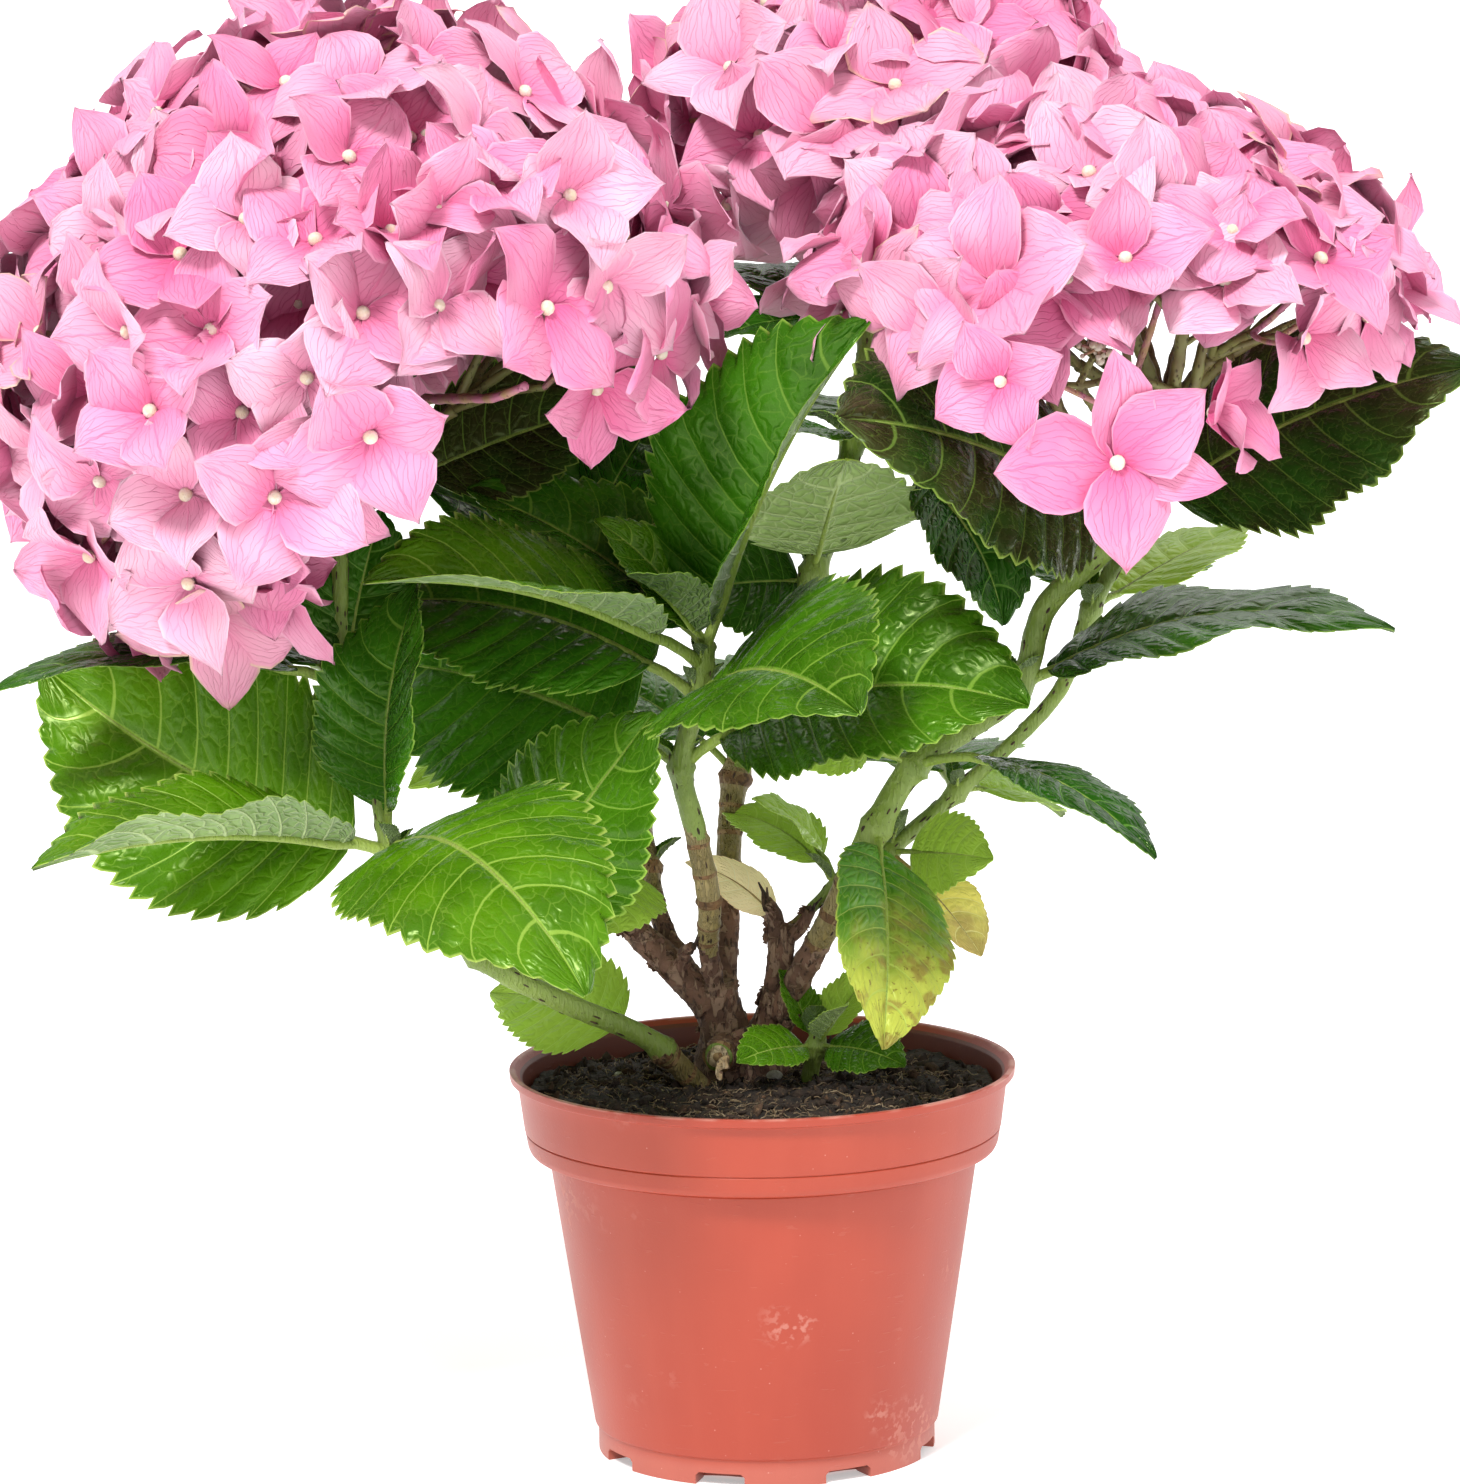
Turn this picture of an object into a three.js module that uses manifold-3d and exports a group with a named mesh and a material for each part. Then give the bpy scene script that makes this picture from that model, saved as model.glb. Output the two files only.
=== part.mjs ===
// A hydrangea shrub in flower, standing in its round plastic nursery pot.
//
// Millimetres, +Z up. The origin is the centre of the pot's flat underside, -Y is the front.
// Every limb, leaf mass and flower head is worked out from the named sizes below: a limb tapers
// along a curve through a few places on it, a leaf mass is the leaves of one node of a stem with
// the collar that holds them, and a flower head is an open dome of florets on its rays.

import * as THREE from 'three';
import { mergeVertices } from 'three/addons/utils/BufferGeometryUtils.js';
import Module from 'manifold-3d';

const library = await Module();
library.setup();

const GAP = 0.3; // clearance between neighbouring solids

// ---- driving dimensions -------------------------------------------------------------------

const POT = {
  height: 108,
  rimRadius: 70,
  lipHeight: 2.4,
  collarTopRadius: 67.8,
  collarBottomRadius: 66,
  collarDepth: 17, // from the rim down to the groove over the chamfer
  chamferRadius: 62.2,
  chamferDrop: 6.5,
  bodyTopRadius: 59.2,
  footLineRadius: 47.8,
  footRadius: 46.8,
  footHeight: 8,
  wall: 1.5,
  floor: 2,
  segments: 24,
};
const DRAIN_SLOTS = { count: 8, firstAzimuth: -151.5, width: 14, height: 3.5, innerRadius: 38 };
const SOIL = { level: 102, flatRadius: 31, slopeToFront: 2, roughness: 1.3 };
const CROWN_CENTRE = [-3, 13];

const LEAF = {
  sides: 4,
  arch: 35, // degrees that a leaf bends down along its length, where it states none
  petioleRadius: 1.7,
  ribHalfThickness: 1.5,
  petioleSteps: 1,
  bladeSteps: 5,
  spineSteps: 24,
};
// half width along the blade, an ovate outline: rounded at the base, drawn out to the tip
const OUTLINE = { base: 0.62, tip: 0.95 };

const LIMB = { sides: 6, stepLength: 20 };
const HEAD = {
  segments: 12,
  outerRings: [0, 0.25, 0.5, 0.7, 0.87, 1], // shares of the skirt's angle
  innerRings: [1, 0.62, 0.3, 0],
  unevenness: 0.025,
  shell: 12,
  rays: 4,
  firstRay: 15,
  raySpread: 0.55, // share of the skirt's angle at which the rays reach the shell
  rayRadius: 1.6,
  hubRadius: 6,
};

const FINISH = {
  pot: { color: 0xd5674f, roughness: 0.42 },
  soil: { color: 0x35281f, roughness: 0.95 },
  wood: { color: 0x6a4d3c, roughness: 0.85 },
  green: { color: 0x8f9c58, roughness: 0.6 },
  leaf: { color: 0x477f1b, roughness: 0.45 },
  leafDark: { color: 0x2c4d1c, roughness: 0.4 },
  leafYellow: { color: 0xb4b23c, roughness: 0.6 },
  leafDead: { color: 0xcdb27a, roughness: 0.8 },
  petal: { color: 0xf4a0c8, roughness: 0.7 },
};

// ---- small tools --------------------------------------------------------------------------

const radians = THREE.MathUtils.degToRad;

/** A unit vector from an azimuth (0 is +X, 90 is +Y) and a rise over the horizontal. */
function heading(azimuth, rise) {
  const a = radians(azimuth);
  const r = radians(rise);
  return new THREE.Vector3(Math.cos(r) * Math.cos(a), Math.cos(r) * Math.sin(a), Math.sin(r));
}

/** Six times the signed volume of an indexed geometry. */
function signedVolume(geometry) {
  const index = geometry.index.array;
  const corners = [new THREE.Vector3(), new THREE.Vector3(), new THREE.Vector3()];
  let sum = 0;
  for (let i = 0; i < index.length; i += 3) {
    corners.forEach((corner, k) => corner.fromBufferAttribute(geometry.attributes.position, index[i + k]));
    sum += corners[0].dot(corners[1].clone().cross(corners[2]));
  }
  return sum;
}

/** A closed three.js geometry as a solid, with its faces pointing out. */
function toSolid(geometry) {
  geometry.deleteAttribute('normal');
  geometry.deleteAttribute('uv');
  const merged = mergeVertices(geometry, 1e-3);
  const corners = merged.index.array;
  const triangles = [];
  const turn = signedVolume(merged) < 0;
  for (let i = 0; i < corners.length; i += 3) {
    const [a, b, c] = [corners[i], corners[i + 1], corners[i + 2]];
    if (a === b || b === c || c === a) continue;
    triangles.push(a, turn ? c : b, turn ? b : c);
  }
  return new library.Manifold(
    new library.Mesh({
      numProp: 3,
      vertProperties: new Float32Array(merged.attributes.position.array),
      triVerts: new Uint32Array(triangles),
    }),
  );
}

/** A solid as a three.js geometry. */
function toGeometry(solid) {
  const mesh = solid.getMesh();
  const geometry = new THREE.BufferGeometry();
  geometry.setAttribute('position', new THREE.BufferAttribute(new Float32Array(mesh.vertProperties), 3));
  geometry.setIndex(new THREE.BufferAttribute(new Uint32Array(mesh.triVerts), 1));
  geometry.computeVertexNormals();
  return geometry;
}

function join(solids) {
  return solids.reduce((all, solid) => all.add(solid));
}

/** The piece of a solid that holds the most, where a cut has left scraps. */
function largestPiece(solid) {
  return solid.decompose().reduce((most, piece) => (piece.volume() > most.volume() ? piece : most));
}

function boxesTouch(a, b) {
  const [first, second] = [a.boundingBox(), b.boundingBox()];
  return [0, 1, 2].every((k) => first.min[k] <= second.max[k] && second.min[k] <= first.max[k]);
}

/** A solid of revolution about Z from a closed [radius, height] profile that meets the axis. */
function revolve(profile, segments) {
  const points = profile.map(([radius, height]) => new THREE.Vector2(radius, height));
  return new THREE.LatheGeometry(points, segments).rotateX(Math.PI / 2);
}

/** A cylinder of the given sides and steps, with each point moved to where place puts it. */
function loft(sides, steps, place) {
  const geometry = new THREE.CylinderGeometry(1, 1, 1, sides, steps);
  const position = geometry.attributes.position;
  for (let i = 0; i < position.count; i += 1) {
    const reach = Math.hypot(position.getX(i), position.getZ(i));
    const angle = Math.atan2(position.getZ(i), position.getX(i));
    const point = place(position.getY(i) + 0.5, reach, angle);
    position.setXYZ(i, point.x, point.y, point.z);
  }
  return toSolid(geometry);
}

/** The value a share of the way along a list of evenly spaced values. */
function along(values, share) {
  const place = THREE.MathUtils.clamp(share, 0, 1) * (values.length - 1);
  const i = Math.min(Math.floor(place), values.length - 2);
  return values[i] + (values[i + 1] - values[i]) * (place - i);
}

// ---- limbs --------------------------------------------------------------------------------

/** A tapering limb through some places, with its radii spread evenly from its foot to its tip. */
function limb({ through, radii, sides = LIMB.sides }, grow = 0) {
  const curve = new THREE.CatmullRomCurve3(through.map((place) => new THREE.Vector3(...place)));
  const steps = through.length > 2 ? Math.max(3, Math.round(curve.getLength() / LIMB.stepLength)) : 1;
  const frames = curve.computeFrenetFrames(steps);
  return loft(sides, steps, (share, reach, angle) => {
    const i = Math.round(share * steps);
    const end = (share - 0.5) * 2 * grow;
    const radius = (along(radii, share) + grow) * reach;
    return curve
      .getPointAt(share)
      .addScaledVector(frames.tangents[i], end)
      .addScaledVector(frames.normals[i], radius * Math.cos(angle))
      .addScaledVector(frames.binormals[i], radius * Math.sin(angle));
  });
}

/** Everything of a solid that stands over the soil, cut flat. */
function overSoil(solid, grow = 0) {
  const size = 400;
  const ground = new THREE.BoxGeometry(size, size, size);
  ground.translate(0, 0, SOIL.level + GAP - grow - size / 2);
  return solid.subtract(toSolid(ground));
}

// ---- leaves -------------------------------------------------------------------------------

const WIDEST = OUTLINE.base / (OUTLINE.base + OUTLINE.tip);

/** Half the width of a blade, as a share of its widest, at a share of its length. */
function outline(share) {
  if (share <= 0 || share >= 1) return 0;
  return (share / WIDEST) ** OUTLINE.base * ((1 - share) / (1 - WIDEST)) ** OUTLINE.tip;
}

/**
 * One leaf with its stalk, as a thin closed blade.
 *
 * It leaves its node at an azimuth and a rise, bends down by `arch` degrees and sideways by `sway`
 * along its length, and its blade is rolled about its rib and folded up along it.
 */
function leaf(node, spec, grow = 0) {
  const { azimuth, rise, stalk, length, width, arch = LEAF.arch, roll = 0, fold = 8, sway = 0 } = spec;
  const total = stalk + length;
  const turnTo = (share) => azimuth + sway * (share - 0.5);
  const tangentAt = (share) => heading(turnTo(share), rise + arch * (0.5 - share));
  const pieces = LEAF.spineSteps;
  const spine = [new THREE.Vector3(...node)];
  for (let i = 0; i < pieces; i += 1) {
    spine.push(spine[i].clone().addScaledVector(tangentAt((i + 0.5) / pieces), total / pieces));
  }
  const curve = (share) => {
    const i = Math.min(Math.floor(share * pieces), pieces - 1);
    return spine[i].clone().lerp(spine[i + 1], share * pieces - i);
  };
  const steps = LEAF.petioleSteps + LEAF.bladeSteps;
  return loft(LEAF.sides, steps, (share, reach, angle) => {
    const step = Math.round(share * steps);
    const onBlade = step - LEAF.petioleSteps;
    const bladeShare = Math.max(0, onBlade) / LEAF.bladeSteps;
    const distance = onBlade < 0 ? stalk * (step / LEAF.petioleSteps) : stalk + length * bladeShare;
    const s = distance / total;
    const tangent = tangentAt(s);
    const flat = radians(turnTo(s));
    const level = new THREE.Vector3(Math.sin(flat), -Math.cos(flat), 0);
    const side = level.clone().applyAxisAngle(tangent, -radians(roll));
    const up = side.clone().cross(tangent).normalize();
    const half = onBlade > 0 ? (width / 2) * outline(bladeShare) : LEAF.petioleRadius;
    const thick = LEAF.ribHalfThickness * (1.15 - 0.75 * s);
    const open = step === steps ? 0 : 1; // the blade closes in its tip
    const across = Math.cos(angle) * reach * (half + grow) * open;
    const lift = Math.sin(angle) * reach * (thick + grow) * open;
    const bend = onBlade > 0 ? radians(fold) : 0;
    return curve(s)
      .addScaledVector(tangent, step === steps ? grow : 0)
      .addScaledVector(side, across * Math.cos(bend))
      .addScaledVector(up, Math.abs(across) * Math.sin(bend) + lift);
  });
}

/** The leaves of one node, with the collar round the stem that carries them. */
function leafMass({ node, collar, leaves }, grow = 0) {
  const blades = leaves.map((spec) => leaf(node, spec, grow));
  if (!collar) return join(blades);
  const bead = new THREE.SphereGeometry(collar + grow, 5, 3).rotateX(Math.PI / 2).translate(...node);
  return join([toSolid(bead), ...blades]);
}

// ---- flower heads -------------------------------------------------------------------------

/**
 * A dome of florets on rays, open from below.
 *
 * `radii` are its half width along X and Y and its height over its centre, `skirt` is the angle
 * from its axis at which it ends, and it reaches further down towards `hang.azimuth`. `lobes`
 * swell it, `pads` are florets that hang clear of it, and the rays spring from its hub.
 */
function flowerHead({ centre, radii, tilt, skirt, hang, lobes = [], pads = [], hub }, grow = 0) {
  const turn = new THREE.Quaternion().setFromUnitVectors(
    new THREE.Vector3(0, 0, 1),
    heading(tilt.azimuth, 90 - tilt.angle),
  );
  const middle = new THREE.Vector3(...centre);
  const shell = HEAD.shell / ((radii[0] + radii[1] + radii[2]) / 3);
  const edge = radians(skirt) + (2 * grow) / Math.min(...radii);
  const profile = [
    ...HEAD.outerRings.map((share) => [share, 1]),
    ...HEAD.innerRings.map((share) => [share, 1 - shell]),
  ].map(([share, size]) => [Math.sin(edge * share) * size, Math.cos(edge * share) * size]);
  const dome = revolve(profile, HEAD.segments);
  const position = dome.attributes.position;
  const point = new THREE.Vector3();
  for (let i = 0; i < position.count; i += 1) {
    point.fromBufferAttribute(position, i);
    const size = point.length();
    const azimuth = Math.atan2(point.y, point.x);
    const polar = Math.acos(point.z / size) * (1 + hang.share * Math.cos(azimuth - radians(hang.azimuth)));
    const aim = new THREE.Vector3(
      Math.sin(polar) * Math.cos(azimuth),
      Math.sin(polar) * Math.sin(azimuth),
      Math.cos(polar),
    );
    const swell = lobes.reduce((sum, lobe) => {
      return sum + lobe.reach * Math.exp(lobe.focus * (aim.dot(heading(lobe.azimuth, lobe.rise)) - 1));
    }, 1 + HEAD.unevenness * Math.sin(5 * azimuth + 2) * Math.sin(4 * polar));
    aim.multiplyScalar(size * swell).multiply(new THREE.Vector3(...radii));
    aim.setLength(aim.length() + (size > 1 - shell / 2 ? grow : -grow));
    aim.applyQuaternion(turn).add(middle);
    position.setXYZ(i, aim.x, aim.y, aim.z);
  }
  const pieces = [toSolid(dome)];
  const start = new THREE.Vector3(...hub);
  pieces.push(toSolid(new THREE.SphereGeometry(HEAD.hubRadius + grow, 6, 4).translate(...hub)));
  for (let k = 0; k < HEAD.rays; k += 1) {
    const aim = heading((360 * k) / HEAD.rays + HEAD.firstRay, 90 - skirt * HEAD.raySpread);
    aim.multiply(new THREE.Vector3(...radii)).multiplyScalar(1 - shell / 2);
    const end = aim.applyQuaternion(turn).add(middle);
    pieces.push(ray(start, end, grow));
  }
  for (const pad of pads) {
    const disc = new THREE.SphereGeometry(1, 8, 4);
    disc.scale(pad.radius + grow, pad.radius + grow, pad.thickness / 2 + grow);
    disc.applyQuaternion(
      new THREE.Quaternion().setFromUnitVectors(new THREE.Vector3(0, 0, 1), heading(pad.azimuth, pad.rise)),
    );
    disc.translate(...pad.at);
    pieces.push(toSolid(disc), ray(start, new THREE.Vector3(...pad.at), grow));
  }
  return join(pieces);
}

/** A floret's stalk from the hub to where it carries florets. */
function ray(start, end, grow) {
  const ends = { through: [start.toArray(), end.toArray()], radii: [HEAD.rayRadius, HEAD.rayRadius], sides: 4 };
  return limb(ends, grow);
}

// ---- the pot and its soil -----------------------------------------------------------------

function pot(grow = 0) {
  const p = POT;
  const groove = p.height - p.collarDepth;
  const step = groove - p.chamferDrop;
  const lip = p.height - p.lipHeight;
  const outer = [
    [p.footRadius, 0],
    [p.footRadius, p.footHeight - 0.8],
    [p.footLineRadius, p.footHeight],
    [p.bodyTopRadius, step],
    [p.chamferRadius, step],
    [p.collarBottomRadius, groove],
    [p.collarTopRadius, lip],
    [p.rimRadius, lip],
    [p.rimRadius, p.height],
  ];
  const inner = [
    [p.rimRadius - p.wall, p.height],
    [p.collarTopRadius - p.wall, lip],
    [p.collarBottomRadius - p.wall, groove],
    [p.bodyTopRadius - p.wall, step],
    [p.footRadius - p.wall, p.floor],
  ];
  const profile = [
    [0, 0],
    ...outer.map(([radius, height]) => [radius + grow, height]),
    ...inner.map(([radius, height]) => [radius - grow, height]),
    [0, p.floor],
  ];
  return cutDrainSlots(toSolid(revolve(profile, p.segments)));
}

/** Cuts the slots where the pot's wall meets its floor, which let the water out. */
function cutDrainSlots(solid) {
  const { count, firstAzimuth, width, height, innerRadius } = DRAIN_SLOTS;
  let cut = solid;
  for (let k = 0; k < count; k += 1) {
    const reach = POT.rimRadius - innerRadius;
    const slot = new THREE.BoxGeometry(reach, width, 2 * height);
    slot.translate(innerRadius + reach / 2, 0, 0);
    slot.rotateZ(radians(firstAzimuth + (360 / count) * k));
    cut = cut.subtract(toSolid(slot));
  }
  return cut;
}

function soil(grow = 0) {
  const p = POT;
  const groove = p.height - p.collarDepth;
  const step = groove - p.chamferDrop;
  const inset = p.wall + GAP + 0.1;
  const edge = p.collarBottomRadius - inset + 0.5;
  const profile = [
    [0, p.floor + GAP],
    [p.footRadius - inset - 0.2, p.floor + GAP],
    [p.bodyTopRadius - inset - 0.2, step + 0.1],
    [p.collarBottomRadius - inset - 0.4, groove + 0.4],
    [edge, SOIL.level - 1],
    ...[0.82, 0.5].map((share) => [edge * share, SOIL.level]),
    [0, SOIL.level],
  ];
  const geometry = revolve(profile, POT.segments);
  const position = geometry.attributes.position;
  for (let i = 0; i < position.count; i += 1) {
    const [x, y, z] = [position.getX(i), position.getY(i), position.getZ(i)];
    if (z < SOIL.level - 2) continue;
    const away = Math.hypot(x - CROWN_CENTRE[0], y - CROWN_CENTRE[1]) - SOIL.flatRadius;
    const share = THREE.MathUtils.clamp(away / 12, 0, 1);
    const slope = (-y / edge) * SOIL.slopeToFront;
    const crumbs = SOIL.roughness * Math.sin(x * 0.21 + 1) * Math.cos(y * 0.17 + x * 0.05);
    position.setZ(i, z + share * (slope + crumbs) + grow);
  }
  return toSolid(geometry);
}

// ---- the plant ----------------------------------------------------------------------------

/** The woody crown: a flared foot that forks in two, and the stub of a stem pruned long ago. */
function rootCrown(grow = 0) {
  const foot = SOIL.level - 6;
  const parts = [
    { through: [[-9, 16, foot], [-10, 15, 112], [-13, 13, 128]], radii: [11.5, 7, 5.6] },
    { through: [[0, 19, foot], [1, 17, 110], [5, 15, 126]], radii: [8, 5.2, 4.4] },
    { through: [[-9, 12, 110], [-12, 1, 110]], radii: [5.4, 4.6] },
  ];
  return overSoil(join(parts.map((part) => limb(part, grow))), grow);
}

// each stem or bough from its foot to its tip, which lies inside the hub of the head it carries
const STEMS = [
  {
    name: 'stem_front',
    finish: 'green',
    through: [
      [-12, 12, 124], [-15, 3, 142], [-14, -4, 155], [-17, -9, 174], [-21, -14, 195],
      [-16, -18, 214], [-14, -20, 230],
    ],
    radii: [3, 2.9, 3.3, 3.1, 2.9, 2.5, 1.8],
  },
  {
    name: 'stem_rear',
    finish: 'green',
    through: [
      [-10, 20, 120], [-9, 28, 145], [-6, 42, 182], [6, 46, 215], [16, 46, 238], [28, 52, 275],
      [33, 60, 304], [37, 76, 332],
    ],
    radii: [3.2, 3.4, 3.6, 3.4, 3.2, 3, 2.8],
  },
  {
    name: 'bough_left',
    finish: 'wood',
    through: [[-14, 13, 122], [-22, 14, 131], [-36, 18, 144]],
    radii: [5, 4.2, 3.6],
  },
  {
    name: 'stem_left',
    finish: 'green',
    through: [
      [-17, 17, 126], [-27, 23, 143], [-31, 31, 158], [-36, 46, 191], [-43, 52, 216],
      [-50, 50, 240], [-70, 26, 276],
    ],
    radii: [3, 2.8, 3.2, 3, 2.8, 2.6, 2.4],
  },
  { name: 'bough_middle', finish: 'wood', through: [[4, 16, 120], [6, 18, 144]], radii: [3.8, 3.4] },
  {
    name: 'stem_right',
    finish: 'green',
    through: [
      [5, 13, 119], [12, 7, 134], [19, 1, 148], [32, -5, 175], [43, -3, 192], [71, -5, 213],
      [79, -6, 236], [100, -8, 258], [106, -12, 284],
    ],
    radii: [4, 3.6, 3.9, 3.5, 3.4, 3.3, 3.1, 2.8],
  },
  {
    name: 'stem_right_rear',
    finish: 'green',
    through: [
      [10, 17, 131], [21, 18, 147], [36, 23, 163], [55, 26, 179], [84, 28, 207], [93, 27, 230],
      [109, 13, 262], [116, -6, 286],
    ],
    radii: [2.6, 2.4, 2.1, 2.1, 2.2, 2.2, 2.1],
  },
  {
    name: 'stem_low_left',
    finish: 'green',
    through: [
      [-15, 4, 98], [-31, -8, 117], [-55, -20, 131], [-77, -30, 146], [-99, -42, 176],
      [-104, -38, 198], [-112, -21, 219], [-113, -14, 262],
    ],
    radii: [3.3, 3, 2.9, 2.8, 2.4, 2.1, 2.2, 2.3],
  },
  {
    name: 'side_twig',
    finish: 'green',
    through: [[7, 21, 140], [15, 22, 148], [23, 18, 158]],
    radii: [1.7, 1.4],
  },
  {
    name: 'basal_shoot',
    finish: 'green',
    through: [[12, 7, 98], [14, 5, 108], [16, 4, 117]],
    radii: [2.6, 1.8],
  },
];
const FLAT_FOOTED = ['stem_low_left', 'basal_shoot'];

const HEADS = [
  {
    name: 'flower_head_right',
    centre: [97, -12, 318],
    radii: [84, 75, 51],
    tilt: { azimuth: -80, angle: 8 },
    skirt: 93,
    hang: { azimuth: -120, share: 0.05 },
    lobes: [{ azimuth: -130, rise: 5, reach: 0.06, focus: 12 }],
    pads: [
      { at: [63, -92, 302], radius: 25, thickness: 9, azimuth: -110, rise: 15 },
      { at: [93, -104, 285], radius: 30, thickness: 9, azimuth: -95, rise: 20 },
      { at: [129, -72, 290], radius: 21, thickness: 11, azimuth: -10, rise: 10 },
    ],
    hub: [111, -12, 288],
  },
  {
    name: 'flower_head_left',
    centre: [-110, -14, 312],
    radii: [97, 90, 88],
    tilt: { azimuth: 200, angle: 22 },
    skirt: 119,
    hang: { azimuth: 210, share: 0.07 },
    lobes: [
      { azimuth: 205, rise: -52, reach: 0.07, focus: 8 },
      { azimuth: -20, rise: -4, reach: 0.06, focus: 9 },
    ],
    hub: [-110, -12, 266],
  },
  {
    name: 'flower_head_rear',
    centre: [38, 82, 362],
    radii: [67, 60, 45],
    tilt: { azimuth: -90, angle: 8 },
    skirt: 112,
    hang: { azimuth: -90, share: 0.05 },
    lobes: [],
    hub: [37, 78, 332],
  },
];

// Leaves by the node that bears them. Angles in degrees, sizes in mm, see leaf() for their meaning.
const MASSES = [
  {
    name: 'leaves_front_top',
    node: [-15, -20, 224],
    collar: 4.6,
    leaves: [
      { azimuth: -35, rise: 60, stalk: 12, length: 102, width: 70, arch: 28, roll: -62, fold: 40 },
      { azimuth: -150, rise: 17, stalk: 18, length: 92, width: 56, arch: 36, roll: 14, fold: 26, sway: -8 },
    ],
  },
  {
    name: 'leaves_front_apex',
    node: [-14, -20.5, 229],
    collar: 4,
    leaves: [
      { azimuth: 165, rise: 32, stalk: 8, length: 72, width: 46, arch: 30, roll: 4, fold: 12 },
      { azimuth: 180, rise: 50, stalk: 5, length: 42, width: 27, arch: 38, roll: 16, fold: 14 },
      { azimuth: -125, rise: 35, stalk: 6, length: 38, width: 26, arch: 30, fold: 30 },
    ],
  },
  {
    name: 'leaves_front_middle',
    node: [-16, -18, 214],
    collar: 5,
    leaves: [
      { azimuth: -64, rise: 6, stalk: 12, length: 88, width: 70, arch: 48, roll: -32, fold: 12, sway: 12 },
      { azimuth: 163, rise: 13, stalk: 16, length: 88, width: 58, arch: 50, roll: 30, fold: 0 },
    ],
  },
  {
    name: 'leaves_front_low',
    node: [-21, -14, 195],
    collar: 5.2,
    leaves: [
      { azimuth: -22, rise: 12, stalk: 14, length: 94, width: 72, arch: 55, roll: -40, fold: 16, sway: -10 },
      { azimuth: 145, rise: 11, stalk: 20, length: 86, width: 70, arch: 28, roll: 50, fold: 4, sway: -10 },
    ],
  },
  {
    name: 'leaves_low_left',
    node: [-99, -42, 177],
    collar: 5,
    leaves: [
      { azimuth: -58, rise: -12, stalk: 10, length: 106, width: 72, arch: 82, roll: -20, fold: 0, sway: 30 },
      { azimuth: -155, rise: 3, stalk: 14, length: 92, width: 53, arch: 34, fold: 32, sway: -14 },
      { azimuth: 155, rise: 23, stalk: 12, length: 106, width: 76, arch: -24, roll: 66, fold: 16, sway: -10 },
      { azimuth: 50, rise: 80, stalk: 12, length: 64, width: 50, arch: 50, roll: 12, fold: 24, sway: 10 },
    ],
  },
  {
    name: 'leaves_left_middle',
    node: [-77, -30, 146],
    leaves: [{ azimuth: -8, rise: 54, stalk: 14, length: 70, width: 58, arch: 4, roll: -55, fold: 0 }],
  },
  {
    name: 'leaves_left_upper',
    node: [-112, -21, 219],
    collar: 4.6,
    leaves: [
      { azimuth: -168, rise: 2, stalk: 14, length: 86, width: 46, arch: 50, roll: 10 },
      { azimuth: 124, rise: 4, stalk: 14, length: 60, width: 44 },
      { azimuth: 52, rise: 70, stalk: 8, length: 42, width: 34, arch: 20, roll: -40 },
      { azimuth: 70, rise: 6, stalk: 16, length: 74, width: 52, arch: 45 },
    ],
  },
  {
    name: 'leaves_left_rear',
    node: [-36, 46, 191],
    collar: 5.4,
    leaves: [
      { azimuth: 104, rise: -2, stalk: 16, length: 70, width: 54, arch: 45 },
      { azimuth: -165, rise: -8, stalk: 12, length: 54, width: 40, arch: 40, roll: 20 },
    ],
  },
  {
    name: 'leaves_left_inner',
    node: [-50, 50, 240],
    collar: 5,
    leaves: [
      { azimuth: -140, rise: 28, stalk: 10, length: 50, width: 44, arch: 20, roll: 45, fold: 4 },
      { azimuth: -23, rise: 60, stalk: 10, length: 45, width: 44, arch: 20, roll: -50, fold: 4 },
      { azimuth: 110, rise: 8, stalk: 14, length: 78, width: 54, arch: 45 },
    ],
  },
  {
    name: 'leaf_left_low',
    node: [-31, 31, 158],
    leaves: [{ azimuth: -118, rise: -26, stalk: 8, length: 26, width: 28, arch: 50, roll: 20, fold: 4 }],
  },
  {
    name: 'leaves_right_low',
    node: [43, -3, 192],
    collar: 5.8,
    leaves: [
      { azimuth: -155, rise: 10, stalk: 16, length: 34, width: 26, roll: 26, fold: 0 },
      { azimuth: -38, rise: -12, stalk: 26, length: 62, width: 40, arch: 66, roll: 8, fold: 4, sway: 14 },
    ],
  },
  {
    name: 'leaves_right_middle',
    node: [71, -5, 213],
    leaves: [{ azimuth: -11, rise: 10, stalk: 10, length: 100, width: 60, arch: 52, roll: -7, fold: 4, sway: -15 }],
  },
  {
    name: 'leaves_right_upper',
    node: [100, -8, 258],
    collar: 5.6,
    leaves: [
      { azimuth: -137, rise: 21, stalk: 12, length: 104, width: 78, arch: 28, roll: 52, fold: 6 },
      { azimuth: -5, rise: 25, stalk: 16, length: 90, width: 72, arch: 30, roll: -38, fold: 0, sway: -10 },
    ],
  },
  {
    name: 'leaves_right_rear',
    node: [93, 27, 230],
    collar: 4.6,
    leaves: [
      { azimuth: 42, rise: 16, stalk: 10, length: 54, width: 39, arch: 12, fold: 8 },
      { azimuth: 78, rise: -4, stalk: 14, length: 84, width: 54, arch: 40 },
    ],
  },
  {
    name: 'leaves_right_rear_low',
    node: [55, 26, 179],
    collar: 4.4,
    leaves: [
      { azimuth: 30, rise: -16, stalk: 8, length: 30, width: 32, arch: 50, roll: -10 },
      { azimuth: 98, rise: -6, stalk: 16, length: 82, width: 54, arch: 40 },
    ],
  },
  {
    name: 'leaf_yellowing',
    node: [32, -5, 175],
    leaves: [{ azimuth: -90, rise: -44, stalk: 8, length: 66, width: 42, arch: 26, roll: 38, fold: 12, sway: -20 }],
    finish: 'leafYellow',
  },
  {
    name: 'leaves_side_twig',
    node: [36, 23, 163],
    collar: 4.2,
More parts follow.
